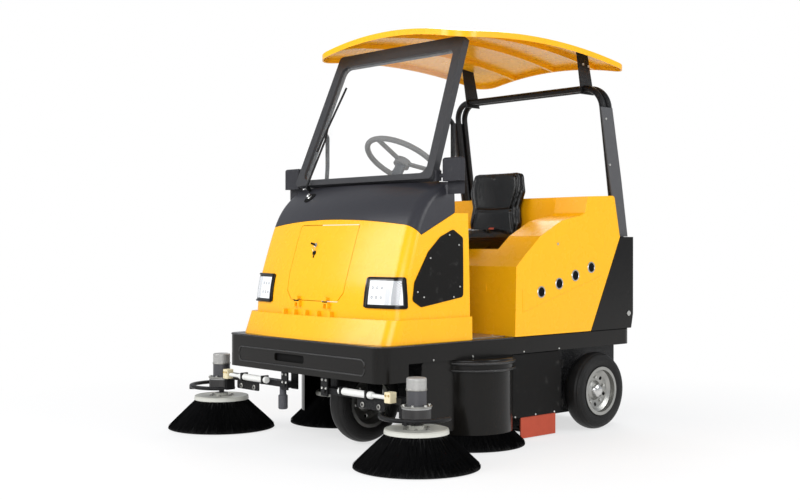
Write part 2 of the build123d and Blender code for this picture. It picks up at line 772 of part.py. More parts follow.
def rear_shell():
    """The black rear shell behind the seat box, wrapping both rear corners."""
    profile = ((506, box_bottom_z), (728, shell_top_z), (shell_rear_y, shell_top_z), (shell_rear_y, 530),
               (815, box_bottom_z))
    body = side_prism(profile, -box_half_width, box_half_width)
    inner = side_prism(((514, box_bottom_z - 1), (734, 896), (shell_rear_y - 6, 897), (shell_rear_y - 6, 532),
                        (809, box_bottom_z - 1)), -box_half_width + box_wall, box_half_width - box_wall)
    return body - inner


def column_covers():
    """Flat plates on the outside of the two rear columns."""
    plate = side_prism(((618, 1525), (706, 1525), (778, 1180), (828, 905), (742, 905)),
                       column_plate_x, column_plate_x + column_plate)
    return both_sides(plate)


def hoop():
    """Two bent tubes that rise from the rear shell and cross below the roof."""
    parts = None
    for foot_y, head_y in ((800, 690), (758, 640)):
        path = ((-hoop_half_width, foot_y, shell_top_z - 6), (-hoop_half_width, head_y, hoop_top_z),
                (hoop_half_width, head_y, hoop_top_z), (hoop_half_width, foot_y, shell_top_z - 6))
        bent = tube(path, hoop_tube_radius, hoop_corner_radius)
        bent -= box(-600, 600, foot_y - 60, foot_y + 60, 880, shell_top_z + running_gap)
        parts = bent if parts is None else parts + bent
    under_roof = roof_surface(-roof_skin - running_gap)
    for x in (-390, 384):
        arm = side_prism(((575, 1850), (650, 1850), (714, 1598), (620, 1598)), x, x + 6)
        parts += arm & under_roof
    return parts


def roof_surface(lift):
    """A doubly curved sheet form: an arc across, swept along an arc from front to rear."""
    length = roof_rear_y - roof_front_y
    middle = (roof_front_y + roof_rear_y) / 2
    path = ThreePointArc((0, roof_front_y - 30, roof_crown_z - roof_end_drop * 0.5 + lift),
                         (0, middle - length * 0.12, roof_crown_z + lift),
                         (0, roof_rear_y + 30, roof_crown_z - roof_end_drop + lift))
    start = Plane(origin=path @ 0, x_dir=(-1, 0, 0), z_dir=path % 0)
    half = roof_half_width + 40
    cross = make_face(
        ThreePointArc((-half, -roof_edge_drop), (0, 0), (half, -roof_edge_drop))
        + Polyline((half, -roof_edge_drop), (half, -roof_edge_drop - 200), (-half, -roof_edge_drop - 200),
                   (-half, -roof_edge_drop)))
    return sweep(start * cross, path=path)


def roof():
    """The yellow roof: a domed skin with a rim that turns down round its edge."""
    def plan(inset):
        half = roof_half_width - inset
        face = make_face(Polyline((-half, roof_front_y + inset), (half, roof_front_y + inset),
                                  (half, roof_rear_y - inset), (-half, roof_rear_y - inset), close=True))
        return Pos(0, 0, 1500) * extrude(fillet(face.vertices(), roof_corner_radius - inset), 600)

    pocket = roof_surface(-roof_skin) & plan(roof_skin)
    for x in (-270, 0, 270):
        pocket -= box(x - 8, x + 8, roof_front_y, roof_rear_y, 1500, 2100)
    skin = (roof_surface(0) & plan(0)) - pocket - roof_surface(-roof_rim)
    return skin.solids().sort_by(Axis.Z)[-1]


def seat_cushion():
    cushion = box(-200, 200, 10, 385, seat_deck_z + running_gap, seat_deck_z + 95)
    return fillet(cushion.edges(), 24)


def seat_back():
    back = side_prism(((385.3, 862), (440, 862), (474, 1235), (430, 1245)), -200, 200)
    return fillet(back.edges(), 16)


def rear_lamps():
    """A lamp block at each rear corner."""
    lamp = box(half_width - 137.5, half_width - 57.5, shell_rear_y + running_gap, shell_rear_y + 24, 700, 830)
    return both_sides(fillet(lamp.edges(), 6))


def mid_brush_mount():
    """The bearing post that carries each mid brush under the deck."""
    post = rod_z(mid_brush_x, mid_brush_y, gearbox_bottom_z, base_top_z - base_deck, 46)
    post += rod_z(mid_brush_x, mid_brush_y, brush_disc_top_z + 14 + running_gap, gearbox_bottom_z + 1,
                  brush_shaft_radius)
    return post


rear_wheel_x = rear_wheel_outer_x - tyre_width / 2
for side, label in ((1, "left"), (-1, "right")):
    save("rear_tyre_" + label, tyre(side * rear_wheel_x, rear_wheel_y))
    save("rear_rim_" + label, rim(side * rear_wheel_x, rear_wheel_y, side))
save("front_tyre", tyre(front_wheel_x, front_wheel_y))
save("front_rim", rim(front_wheel_x, front_wheel_y, 1))
save("front_fork", front_fork())
save("rear_axle", rear_axle())
save("chassis_base", chassis_base())
save("floor_plate", floor_plate())
save("lower_frame", lower_frame())
save("dust_bin", dust_bin())
save("battery_block", battery_block())
left_and_right("front_brush", side_brush(front_brush_x, front_brush_y))
left_and_right("mid_brush", side_brush(mid_brush_x, mid_brush_y))
left_and_right("brush_drive", brush_drive(front_brush_x, front_brush_y))
left_and_right("brush_arm", brush_arm())
save("arm_brackets", both_sides(arm_bracket()))
save("mid_brush_mounts", both_sides(mid_brush_mount()))
save("main_brush", main_brush())
save("brush_covers", both_sides(brush_cover()))
left_and_right("side_door", side_door())
left_and_right("door_flap", door_flap())
save("door_hinges", both_sides(door_hinges()))
cab_shell, front_hood, head_lamp, cover_panel, dash = cab_parts()
save("cab_shell", cab_shell)
save("front_hood", front_hood)
save("head_lamps", both_sides(head_lamp))
save("cab_side_panels", both_sides(cover_panel))
save("dash", dash)
save("windscreen_frame", windscreen_frame())
save("windscreen_glass", windscreen_glass())
save("wiper", wiper())
save("mirrors", mirrors())
save("grab_rails", grab_rails())
save("steering_column", steering_column())
save("steering_wheel", steering_wheel())
save("pedals", pedals())
save("rear_box", rear_box())
save("rear_shell", rear_shell())
save("column_covers", column_covers())
save("hoop", hoop())
save("roof", roof())
save("seat_cushion", seat_cushion())
save("seat_back", seat_back())
save("rear_lamps", rear_lamps())
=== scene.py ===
# %% [markdown]
# This notebook dresses a compact ride-on road sweeper. Its solids come ready made from the packed
# frame, each at its real place in metres, so a new piece is put where the frame's own boxes say.
# First the frame is loaded. The dressed machine has to stay inside it.

# %% Load the frame
import json
import math
import random

import bmesh
import bpy
from mathutils import Matrix, Vector


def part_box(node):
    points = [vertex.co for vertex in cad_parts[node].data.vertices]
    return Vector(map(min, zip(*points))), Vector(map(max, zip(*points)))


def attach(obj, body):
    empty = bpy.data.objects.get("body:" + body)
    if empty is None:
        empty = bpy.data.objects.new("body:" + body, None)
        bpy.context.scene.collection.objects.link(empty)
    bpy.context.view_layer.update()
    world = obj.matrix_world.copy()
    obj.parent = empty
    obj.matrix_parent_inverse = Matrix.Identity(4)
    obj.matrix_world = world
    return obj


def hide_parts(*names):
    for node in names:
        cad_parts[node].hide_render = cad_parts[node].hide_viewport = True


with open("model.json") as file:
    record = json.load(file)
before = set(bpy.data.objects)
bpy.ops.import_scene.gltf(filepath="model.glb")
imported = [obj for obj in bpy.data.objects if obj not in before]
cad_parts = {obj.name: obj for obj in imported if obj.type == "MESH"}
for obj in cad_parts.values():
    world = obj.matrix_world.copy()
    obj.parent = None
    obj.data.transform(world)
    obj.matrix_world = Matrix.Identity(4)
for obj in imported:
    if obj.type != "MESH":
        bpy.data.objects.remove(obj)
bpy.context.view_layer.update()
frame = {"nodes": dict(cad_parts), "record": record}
nodes = frame["nodes"]
bodies = frame["record"]["behaviour"]["bodies"]
body_of_node = {name: body for body, names in bodies.items() for name in names}
print("loaded", len(nodes), "solids")

# %% [markdown]
# The camera stands low at the front left corner of the machine, about four and a half metres from its
# nearest brush. Its lens was worked out from the machine's own straight lines.

# %% Camera
camera_data = bpy.data.cameras.new("view")
camera_data.sensor_width = 36.0
camera_data.lens = 52.51
camera = bpy.data.objects.new("view", camera_data)
camera.location = (3.9901, -3.7866, 0.8734)
camera.rotation_euler = (math.radians(89.6546), 0.0, math.radians(47.6796))
bpy.context.scene.collection.objects.link(camera)
bpy.context.scene.camera = camera
print("camera is", round(camera.location.length, 2), "m from the middle of the floor")

# %% [markdown]
# A product picture on white needs a pale floor that melts into a white background. The floor keeps
# a soft shadow, and the world shows plain white to the camera, to mirrors and through glass, while it
# lights the machine at a quieter level, so that yellow and black stay the colours they are.

# %% Floor, world and lamps
scene = bpy.context.scene
scene.view_settings.view_transform = "Standard"

world = bpy.data.worlds.new("studio")
scene.world = world
world.use_nodes = True
sky_nodes, sky_links = world.node_tree.nodes, world.node_tree.links
sky_nodes.clear()
sky_out = sky_nodes.new("ShaderNodeOutputWorld")
sky_mix = sky_nodes.new("ShaderNodeMixShader")
quiet = sky_nodes.new("ShaderNodeBackground")
bright = sky_nodes.new("ShaderNodeBackground")
rays = sky_nodes.new("ShaderNodeLightPath")
quiet.inputs["Color"].default_value = (0.92, 0.95, 1.0, 1.0)
quiet.inputs["Strength"].default_value = 0.58
bright.inputs["Color"].default_value = (1.0, 1.0, 1.0, 1.0)
either = sky_nodes.new("ShaderNodeMath")
either.operation = "MAXIMUM"
sky_links.new(rays.outputs["Is Camera Ray"], either.inputs[0])
sky_links.new(rays.outputs["Is Transmission Ray"], either.inputs[1])
sky_links.new(either.outputs[0], sky_mix.inputs["Fac"])
sky_links.new(quiet.outputs[0], sky_mix.inputs[1])
sky_links.new(bright.outputs[0], sky_mix.inputs[2])
sky_links.new(sky_mix.outputs[0], sky_out.inputs["Surface"])


def lamp(name, place, aim, size, power):
    """A soft box at place that faces aim."""
    data = bpy.data.lights.new(name, "AREA")
    data.shape = "RECTANGLE"
    data.size, data.size_y = size
    data.energy = power
    obj = bpy.data.objects.new(name, data)
    obj.location = place
    obj.rotation_euler = (Vector(aim) - Vector(place)).to_track_quat("-Z", "Y").to_euler()
    scene.collection.objects.link(obj)


lamp("key", (-1.6, -4.6, 3.2), (0.0, -0.4, 0.8), (3.0, 2.2), 150.0)
lamp("side", (4.6, 1.8, 2.6), (0.3, 0.2, 0.8), (2.4, 2.0), 92.0)
lamp("near", (3.4, -3.4, 1.7), (0.0, 0.0, 0.7), (2.2, 1.6), 88.0)
lamp("back", (-2.6, 3.4, 4.0), (0.0, 0.0, 1.0), (3.0, 2.0), 90.0)

floor_mesh = bpy.data.meshes.new("floor")
floor_bm = bmesh.new()
bmesh.ops.create_grid(floor_bm, x_segments=1, y_segments=1, size=14.0)
floor_bm.to_mesh(floor_mesh)
floor_bm.free()
floor = bpy.data.objects.new("floor", floor_mesh)
scene.collection.objects.link(floor)
print("four lamps and a floor")

# %% [markdown]
# Materials are sums of small patterns. Writing them as Python expressions keeps them readable: a
# Value wraps a socket, and adding or multiplying Values puts Math nodes in the tree.

# %% A small language for materials
class Value:
    """One socket of a material's tree, which takes part in sums."""

    def __init__(self, finish, socket):
        self.finish = finish
        self.socket = socket

    def sum(self, operation, first, second=0.0):
        return self.finish.node("Math", {"operation": operation}, {0: first, 1: second})

    def __add__(self, other):
        return self.sum("ADD", self, other)

    def __sub__(self, other):
        return self.sum("SUBTRACT", self, other)

    def __mul__(self, other):
        return self.sum("MULTIPLY", self, other)

    def __truediv__(self, other):
        return self.sum("DIVIDE", self, other)

    def __rsub__(self, other):
        return self.sum("SUBTRACT", other, self)

    def __pow__(self, other):
        return self.sum("POWER", self, other)

    __radd__ = __add__
    __rmul__ = __mul__

    def over(self, limit):
        return self.sum("GREATER_THAN", self, limit)

    def between(self, low, high):
        return self.over(low) * (1.0 - self.over(high))

    def larger(self, other):
        return self.sum("MAXIMUM", self, other)

    def clamped(self):
        return self.finish.node("Clamp", None, {0: self})

    def sine(self):
        return self.sum("SINE", self)

    def size(self):
        """The number without its sign."""
        return self.sum("ABSOLUTE", self)

    def cell(self, width):
        """Where the number lies in its cell of this width, from minus a half to a half of it."""
        return self.sum("MODULO", self, width) - width / 2


def srgb(red, green, blue):
    """A colour as a picture editor shows it, 0 to 255, turned into light."""
    parts = [c / 255.0 for c in (red, green, blue)]
    return tuple(c / 12.92 if c <= 0.04045 else ((c + 0.055) / 1.055) ** 2.4 for c in parts) + (1.0,)


def socket_name(key):
    return key.replace("_", " ").title().replace("Ior", "IOR")


class Finish:
    """A material with its Principled shader, and one method that adds any other node."""

    def __init__(self, name, **constants):
        self.material = bpy.data.materials.new(name)
        self.material.use_nodes = True
        self.tree = self.material.node_tree
        self.shader = self.tree.nodes["Principled BSDF"]
        for key, value in constants.items():
            self.shader.inputs[socket_name(key)].default_value = value

    def node(self, kind, settings=None, inputs=None, output=0):
        made = self.tree.nodes.new("ShaderNode" + kind)
        for name, value in (settings or {}).items():
            if name == "stops":
                ramp = made.color_ramp.elements
                while len(ramp) < len(value):
                    ramp.new(1.0)
                for stop, (place, colour) in zip(ramp, value):
                    stop.position = place
                    stop.color = colour
            else:
                setattr(made, name, value)
        for key, source in (inputs or {}).items():
            self.feed(made.inputs[key], source)
        return Value(self, made.outputs[output])

    def feed(self, socket, source):
        if isinstance(source, Value):
            self.tree.links.new(source.socket, socket)
        else:
            socket.default_value = source

    def set(self, **sources):
        for key, source in sources.items():
            self.feed(self.shader.inputs[socket_name(key)], source)

    def place(self):
        """Where a point lies on the machine, in metres."""
        return self.node("TexCoord", output=3)

    def axis(self, number):
        return self.node("SeparateXYZ", None, {0: self.place()}, number)

    def noise(self, scale, detail=3.0):
        return self.node("TexNoise", None, {"Vector": self.place(), "Scale": scale, "Detail": detail,
                                            "Roughness": 0.55})

    def spots(self, scale):
        return self.node("TexVoronoi", None, {"Vector": self.place(), "Scale": scale})

    def blend(self, share, first, second):
        return self.node("Mix", {"data_type": "RGBA"}, {0: share, 6: first, 7: second}, 2)

    def bump(self, height, depth):
        """Raises the surface by depth metres where height is 1."""
        self.set(normal=self.node("Bump", None, {"Strength": 1.0, "Distance": depth, "Height": height}))


print("shader helpers ready")

# %% [markdown]
# The bodywork is rotationally moulded plastic: a deep warm yellow with a soft gloss, a faint orange
# peel, and a second tone in cloudy patches that grows towards the bottom, darker and more orange on
# the yellow and paler on the black. One function makes it, because the black base, the brush covers
# and the rear shell are moulded the same way and differ only in colour and gloss.

# %% Moulded plastics
low_tint_top = 0.9


def moulded(name, colour, low_colour, roughness, peel, shine=0.5):
    made = Finish(name, specular_ior_level=shine)
    cloud = made.noise(7.0)
    height = made.axis(2)
    # Below low_tint_top the colour turns towards the second tone in cloudy patches, more so near the floor.
    low_tint = ((1.0 - height / low_tint_top) * cloud * 0.35).clamped()
    made.set(base_color=made.blend(low_tint, colour, low_colour))
    made.set(roughness=roughness + made.noise(16.0) * 0.10)
    made.bump(made.noise(55.0, 2.0), peel)
    return made.material


yellow = moulded("yellow_moulding", srgb(248, 178, 14), srgb(222, 150, 20), 0.22, 0.00022, 0.36)
black_gloss = moulded("black_moulding", srgb(15, 14, 13), srgb(40, 37, 33), 0.14, 0.0003, 0.2)
dash_grey = moulded("dash_moulding", srgb(44, 44, 49), srgb(36, 35, 36), 0.3, 0.0004, 0.3)
print("moulded plastics:", yellow.name, black_gloss.name, dash_grey.name)

# %% [markdown]
# The frame tubes and brackets are steel with a black powder coat. A powder coat has a fine pebble
# and is greyer in patches where hands and boots rub it.

# %% Coated and bare metals
def coated(name, colour, roughness, shine=0.2):
    made = Finish(name, specular_ior_level=shine)
    rub = made.noise(26.0, 4.0)
    worn = made.node("ValToRGB", {"stops": ((0.62, (0, 0, 0, 1)), (0.8, (1, 1, 1, 1)))}, {0: rub})
    made.set(base_color=made.blend(worn * 0.25, colour, srgb(96, 94, 92)))
    made.set(roughness=roughness + made.noise(120.0) * 0.14)
    made.bump(made.spots(900.0), 0.0004)
    return made.material


def bare(name, colour, roughness, grain):
    made = Finish(name, metallic=1.0)
    streak = made.noise(grain, 5.0)
    made.set(base_color=made.blend(streak * 0.5, colour, srgb(120, 118, 114)))
    made.set(roughness=roughness + streak * 0.2)
    made.bump(made.noise(220.0), 0.0005)
    return made.material


def tread_plate(name):
    """Rolled plate with a pattern of short raised bars that lie across each other."""
    made = Finish(name, metallic=0.9)
    x, y = made.axis(0) * 110.0, made.axis(1) * 110.0
    first = ((x + y).sine() * (x - y).sine()).over(0.55)
    worn = made.noise(14.0, 5.0)
    made.set(base_color=made.blend(worn, srgb(206, 196, 180), srgb(150, 138, 120)))
    made.set(roughness=0.28 + worn * 0.25)
    made.bump(first + made.noise(240.0) * 0.15, 0.0012)
    return made.material


gearbox_top, flange_top, cap_foot = 0.229, 0.2405, 0.3035


def drive_finish(name):
    """A brush motor from its dark gearbox through a pale flange and a grey body to its pale cap."""
    made = Finish(name, metallic=0.35)
    height = made.axis(2)
    speck = made.noise(160.0, 4.0)
    body = made.blend(height.over(cap_foot), srgb(74, 74, 78), srgb(176, 175, 172))
    low = made.blend(height.over(gearbox_top), srgb(58, 57, 57), srgb(168, 168, 166))
    both = made.blend(height.over(flange_top), low, body)
    made.set(base_color=made.blend(speck * 0.3, both, srgb(60, 58, 56)))
    made.set(roughness=0.34 + speck * 0.2)
    made.bump(made.noise(300.0), 0.0004)
    return made.material


black_steel = coated("black_powder_coat", srgb(18, 18, 19), 0.22)
black_shine = coated("black_lip", srgb(24, 23, 22), 0.12, 0.5)
black_sheet = coated("black_sheet", srgb(14, 13, 12), 0.4, 0.12)
arm_paint = coated("arm_black", srgb(20, 20, 21), 0.3)
frame_grey = coated("frame_grey", srgb(54, 54, 56), 0.3)
mirror_case = coated("mirror_case", srgb(44, 44, 48), 0.4)
motor_paint = coated("motor_grey", srgb(78, 78, 82), 0.4)
enamel = coated("white_enamel", srgb(226, 226, 222), 0.25)
drive_paint = drive_finish("drive_metal")
rim_zinc = bare("rim_zinc", srgb(176, 176, 172), 0.26, 30.0)
column_grey = coated("column_grey", srgb(70, 70, 72), 0.24, 0.4)
screw_zinc = bare("screw_zinc", srgb(210, 210, 206), 0.2, 200.0)
tread_metal = tread_plate("tread_metal")
print("metals:", black_steel.name, motor_paint.name, rim_zinc.name)

# %% [markdown]
# Rubber and leather are nearly black and barely shine, so dust does most of the work on them. The
# tyres have fine moulded rings, which follow the distance from the axle. The bristles' solid skirt
# and its pale plate are one solid, so one finish changes its colour at the plate's height.

# %% Rubber, leather and bristles
front_axle, rear_axle, axle_height = -0.448, 0.591, 0.18
shoulder_radius = 0.150
plate_height = 0.1345


def rubbery(name, colour, dusty, roughness, shine=0.15):
    made = Finish(name, specular_ior_level=shine)
    dust = made.noise(18.0, 5.0)
    made.set(base_color=made.blend(dust * 0.6, colour, dusty))
    made.set(roughness=roughness + dust * 0.15)
    made.bump(made.noise(500.0, 2.0), 0.0005)
    return made.material


def tyre(name, axle_y):
    """Black rubber with fine moulded rings round an axle at this place along the machine."""
    made = Finish(name, specular_ior_level=0.2)
    along = made.axis(1) - axle_y
    up = made.axis(2) - axle_height
    radius = (along * along + up * up) ** 0.5
    ring = (radius * 900.0).sine()
    shoulder = (radius - shoulder_radius).size()
    line = 1.0 - shoulder.over(0.002)
    dust = made.noise(30.0, 5.0)
    made.set(base_color=made.blend(dust * 0.7, srgb(13, 13, 13), srgb(34, 33, 32)))
    made.set(roughness=0.36 + dust * 0.2)
    made.bump(ring * 0.4 + line * 1.5 + made.noise(400.0, 2.0) * 0.4, 0.0012)
    return made.material


def brush_finish(name):
    """Black fibre with a pale moulded plate on top."""
    made = Finish(name, specular_ior_level=0.25)
    plate_share = made.axis(2).over(plate_height)
    streaks = made.noise(260.0, 4.0)
    fibre = made.blend(streaks, (0.0012, 0.0012, 0.0014, 1.0), (0.006, 0.006, 0.006, 1.0))
    plate_colour = made.blend(streaks * 0.6, srgb(205, 205, 196), srgb(150, 149, 140))
    made.set(base_color=made.blend(plate_share, fibre, plate_colour))
    made.set(roughness=0.8 - plate_share * 0.45)
    made.bump(streaks, 0.0006)
    return made.material


front_rubber = tyre("front_tyre_rubber", front_axle)
rear_rubber = tyre("rear_tyre_rubber", rear_axle)
red_rubber = rubbery("red_rubber", srgb(190, 84, 62), srgb(150, 66, 50), 0.6)
leather = rubbery("black_leather", srgb(7, 7, 7), srgb(12, 12, 11), 0.13, 0.32)
grip_plastic = rubbery("grip_plastic", srgb(84, 82, 80), srgb(110, 108, 106), 0.42)
bristle_black = rubbery("bristle_black", srgb(5, 5, 6), srgb(14, 14, 14), 0.6, 0.04)
# hole_shade_and_key_black is painted shade inside the vents, bores, slots and the wiper's recess, and the
# real black of the hood's keys.
hole_shade_and_key_black = rubbery("hole_shade_and_key_black", srgb(8, 8, 8), srgb(14, 13, 13), 0.7)
brush_moulding = brush_finish("brush_moulding")
cream_plastic = moulded("cream_plastic", srgb(226, 214, 178), srgb(190, 170, 130), 0.35, 0.0006)
print("soft finishes:", front_rubber.name, leather.name, brush_moulding.name)

# %% [markdown]
# The windscreen is almost invisible, so it is a mostly see-through surface and not a glass that bends
# light. A head lamp shows rings of small lights, a ribbed field and a black edge behind its clear
# cover. They are drawn in its finish from the distances to the lamp's middle, in millimetres, because
# they lie flat behind the cover and their depth never shows.

# %% Glass and lenses
glass = Finish("screen_glass", roughness=0.03)
glass.set(base_color=glass.blend(glass.noise(3.0), (0.93, 0.96, 0.96, 1.0), (0.86, 0.9, 0.91, 1.0)))
glass.set(alpha=0.045 + glass.noise(2.0) * 0.03)

lamp_middle, half_height, lamp_inner, lamp_rear = 669.5, 49.0, 343.0, -0.5905
light_start, light_end, light_pitch = 350.0, 422.0, 24.0
lens = Finish("lamp_lens", roughness=0.14)
lamp_x = lens.axis(0).size() * 1000.0
lamp_z = lens.axis(2) * 1000.0 - lamp_middle
dot_x = (lamp_x - light_start).cell(light_pitch)
dot_z = lamp_z.size() - 20.0
dot = (dot_x * dot_x + dot_z * dot_z) ** 0.5
ring = dot.between(3.0, 6.0) * lamp_x.between(light_start, light_end)
squares = ((lamp_x * 0.6).sine() * (lamp_z * 0.6).sine()).over(0.0)
outer = lamp_x.between(430.0, 456.0) * 0.45 + lamp_x.between(462.0, 492.0)
inner = (1.0 - lamp_x.over(346.0)) * (lamp_z * 1.6).sine().over(0.2) * 0.4
marks = (ring * 0.8 + squares * outer + inner).clamped()
clear = lens.blend(marks, srgb(236, 238, 240), srgb(84, 86, 92))
edge_share = (lamp_z.size() - half_height).over(0.0) + (1.0 - lamp_x.over(lamp_inner))
edge_share = (edge_share + (lens.axis(1) - lamp_rear).over(0.0)).clamped()
lens.set(base_color=lens.blend(edge_share, clear, srgb(14, 14, 14)))
lens.bump(squares * outer + ring, 0.0015)
red_lens = Finish("rear_lens", roughness=0.15)
red_lens.set(base_color=red_lens.blend(red_lens.noise(30.0) * 0.5, srgb(170, 18, 14), srgb(110, 10, 8)))
print("glass and lenses:", glass.material.name, lens.material.name, red_lens.material.name)

# %% [markdown]
# Each solid of the frame gets its finish here. A solid that a better shaped piece replaces further
# down still gets one, so that nothing is ever left without a surface.

# %% Dress the frame's solids
finish_of = {
    "cab_shell": yellow, "front_hood": yellow, "rear_box": yellow, "roof": yellow,
    "chassis_base": black_gloss, "brush_covers": black_gloss, "side_door_left": black_sheet,
    "side_door_right": black_sheet, "rear_shell": black_gloss, "mirrors": mirror_case,
    "column_covers": column_grey, "dash": dash_grey, "cab_side_panels": black_sheet,
    "steering_column": dash_grey, "steering_wheel": grip_plastic, "floor_plate": tread_metal,
    "brush_drive_left": drive_paint, "brush_drive_right": drive_paint, "mid_brush_mounts": motor_paint,
    "windscreen_frame": frame_grey, "brush_arm_left": arm_paint, "brush_arm_right": arm_paint,
    "front_tyre": front_rubber, "rear_tyre_left": rear_rubber, "rear_tyre_right": rear_rubber,
    "front_rim": rim_zinc, "rear_rim_left": rim_zinc, "rear_rim_right": rim_zinc,
    "door_flap_left": red_rubber, "door_flap_right": red_rubber,
    "seat_cushion": leather, "seat_back": leather,
    "windscreen_glass": glass.material, "head_lamps": lens.material, "rear_lamps": red_lens.material,
    "main_brush": bristle_black, "front_brush_left": brush_moulding,
    "front_brush_right": brush_moulding, "mid_brush_left": brush_moulding,
    "mid_brush_right": brush_moulding,
}


def dress(obj, material):
    obj.data.materials.clear()
    obj.data.materials.append(material)


for name, obj in nodes.items():
    dress(obj, finish_of.get(name, black_steel))

print("dressed", len(nodes), "solids")

# %% [markdown]
# The floor takes the lamps' light as a real floor does, but what the camera and mirrors see of it is
# mostly plain white. That share grows with the distance, so a soft shadow stays under the machine.

# %% Finish of the floor
floor_finish = Finish("pale_floor", roughness=0.8)
across, along = floor_finish.axis(0), floor_finish.axis(1)
shadow_reach, fade = 1.3, 1.5
far = (((across * across + along * along) ** 0.5 - shadow_reach) / fade).clamped()
floor_finish.set(base_color=floor_finish.blend(far, (0.86, 0.86, 0.86, 1.0), (0.9, 0.9, 0.9, 1.0)))
to_camera, to_mirror, through_glass = [floor_finish.node("LightPath", output=n) for n in (0, 3, 6)]
seen = to_camera.larger(to_mirror).larger(through_glass)
plain_white = floor_finish.node("Emission", None, {0: (1.0, 1.0, 1.0, 1.0), 1: 1.0})
floor_mix = floor_finish.node("MixShader", None, {0: seen * (far * 0.35 + 0.65), 2: plain_white})
floor_links = floor_finish.tree.links
floor_links.new(floor_finish.shader.outputs[0], floor_mix.socket.node.inputs[1])
floor_links.new(floor_mix.socket, floor_finish.tree.nodes["Material Output"].inputs["Surface"])
dress(floor, floor_finish.material)
print("the floor is white where it is far")

# %% [markdown]
# The pieces that follow are made in mesh code. A few helpers keep their cells short: one turns a
# bmesh into a piece that rides on a body, one turns an outline round an axis, and one finds the
# place on a solid where a small thing sits, so that nothing floats over the surface it belongs to.

# %% Helpers for mesh pieces
from mathutils.bvhtree import BVHTree

both_sides = ((1, "left"), (-1, "right"))


def as_mesh(bm, name):
    mesh = bpy.data.meshes.new(name)
    bm.to_mesh(mesh)
    bm.free()
    return mesh


def piece(name, bm, material, body):
    """Makes a bmesh an object with a finish and a body that it rides on."""
    obj = bpy.data.objects.new(name, as_mesh(bm, name))
    scene.collection.objects.link(obj)
    dress(obj, material)
    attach(obj, body)
    return obj


def moved(bm, way):
    bmesh.ops.translate(bm, vec=way, verts=bm.verts)
    return bm


def tilted(bm, degrees, axis):
    """Turns a whole bmesh round an axis through the origin."""
    turn = Matrix.Rotation(math.radians(degrees), 3, axis)
    bmesh.ops.rotate(bm, cent=(0, 0, 0), matrix=turn, verts=bm.verts)
    return bm


def rounded(bm, width, edges=None, segments=2):
    bmesh.ops.bevel(bm, geom=edges or list(bm.edges), offset=width, offset_type="OFFSET", segments=segments,
                    profile=0.5, material=-1, affect="EDGES", clamp_overlap=True)


def add_box(bm, size, place):
    """Adds a box of this size with its middle at a place."""
    verts = bmesh.ops.create_cube(bm, size=1.0)["verts"]
    bmesh.ops.scale(bm, vec=size, verts=verts)
    bmesh.ops.translate(bm, vec=place, verts=verts)


def cone(segments, low, high, depth, foot=0.0):
    """A capped cone with its radius at the foot, its radius on top and the height of its foot."""
    bm = bmesh.new()
    bmesh.ops.create_cone(bm, cap_ends=True, segments=segments, radius1=low, radius2=high, depth=depth)
    return moved(bm, (0.0, 0.0, foot + depth / 2))


def turned(points, steps=40):
    """A closed outline of (radius, height) points turned round Z."""
    bm = bmesh.new()
    verts = [bm.verts.new((radius, 0.0, height)) for radius, height in points]
    edges = [bm.edges.new(pair) for pair in zip(verts, verts[1:] + verts[:1])]
    bmesh.ops.spin(bm, geom=verts + edges, cent=(0, 0, 0), axis=(0, 0, 1), angle=math.tau, steps=steps,
                   use_merge=True)
    bmesh.ops.remove_doubles(bm, verts=bm.verts, dist=0.00001)
    bmesh.ops.recalc_face_normals(bm, faces=bm.faces)
    return bm


def add_copy(bm, template, matrix):
    copy = template.copy()
    copy.transform(matrix)
    bm.from_mesh(copy)
    bpy.data.meshes.remove(copy)


def repeated(template, matrices):
    """One bmesh with a copy of the template at each matrix."""
    bm = bmesh.new()
    for matrix in matrices:
        add_copy(bm, template, matrix)
    return bm


def joined(shapes):
    """Several bmeshes as one."""
    bm = bmesh.new()
    for shape in shapes:
        bm.from_mesh(as_mesh(shape, "part"))
    return bm


def facing(place, normal, size=1.0, turn=0.0):
    """The matrix that stands a piece on a surface at this place."""
    look = Vector(normal).to_track_quat("Z", "Y").to_matrix().to_4x4()
    return Matrix.Translation(place) @ look @ Matrix.Rotation(turn, 4, "Z") @ Matrix.Scale(size, 4)


surfaces = {}


def touch(node, start, direction):
    """The place and the normal where a ray first meets a solid of the frame."""
    if node not in surfaces:
        mesh = nodes[node].data
        corners = [vert.co for vert in mesh.vertices]
        surfaces[node] = BVHTree.FromPolygons(corners, [face.vertices for face in mesh.polygons])
    place, normal = surfaces[node].ray_cast(Vector(start), Vector(direction).normalized())[:2]
    if place is None:
        raise ValueError(node + " was missed from " + str(start))
    return place, normal


print("mesh helpers ready")

# %% [markdown]
# A street brush is a ring of stiff bristles that spread from the plate to the ground. One bristle is
# a thin three sided cone, bent along a curve. Bristles are gathered in tufts, and a few different
# tufts are repeated round the plate in three rows, each a little turned, so that no two look alike.

# %% One bristle and its tufts
rng = random.Random(7)
bristle_bm = cone(3, 1.0, 0.7, 1.0)
long_edges = [edge for edge in bristle_bm.edges if abs(edge.verts[0].co.z - edge.verts[1].co.z) > 0.5]
bmesh.ops.subdivide_edges(bristle_bm, edges=long_edges, cuts=2)
bristle = as_mesh(bristle_bm, "bristle")
root_height, knee_height, knee_share = 138.0, 72.0, 0.58


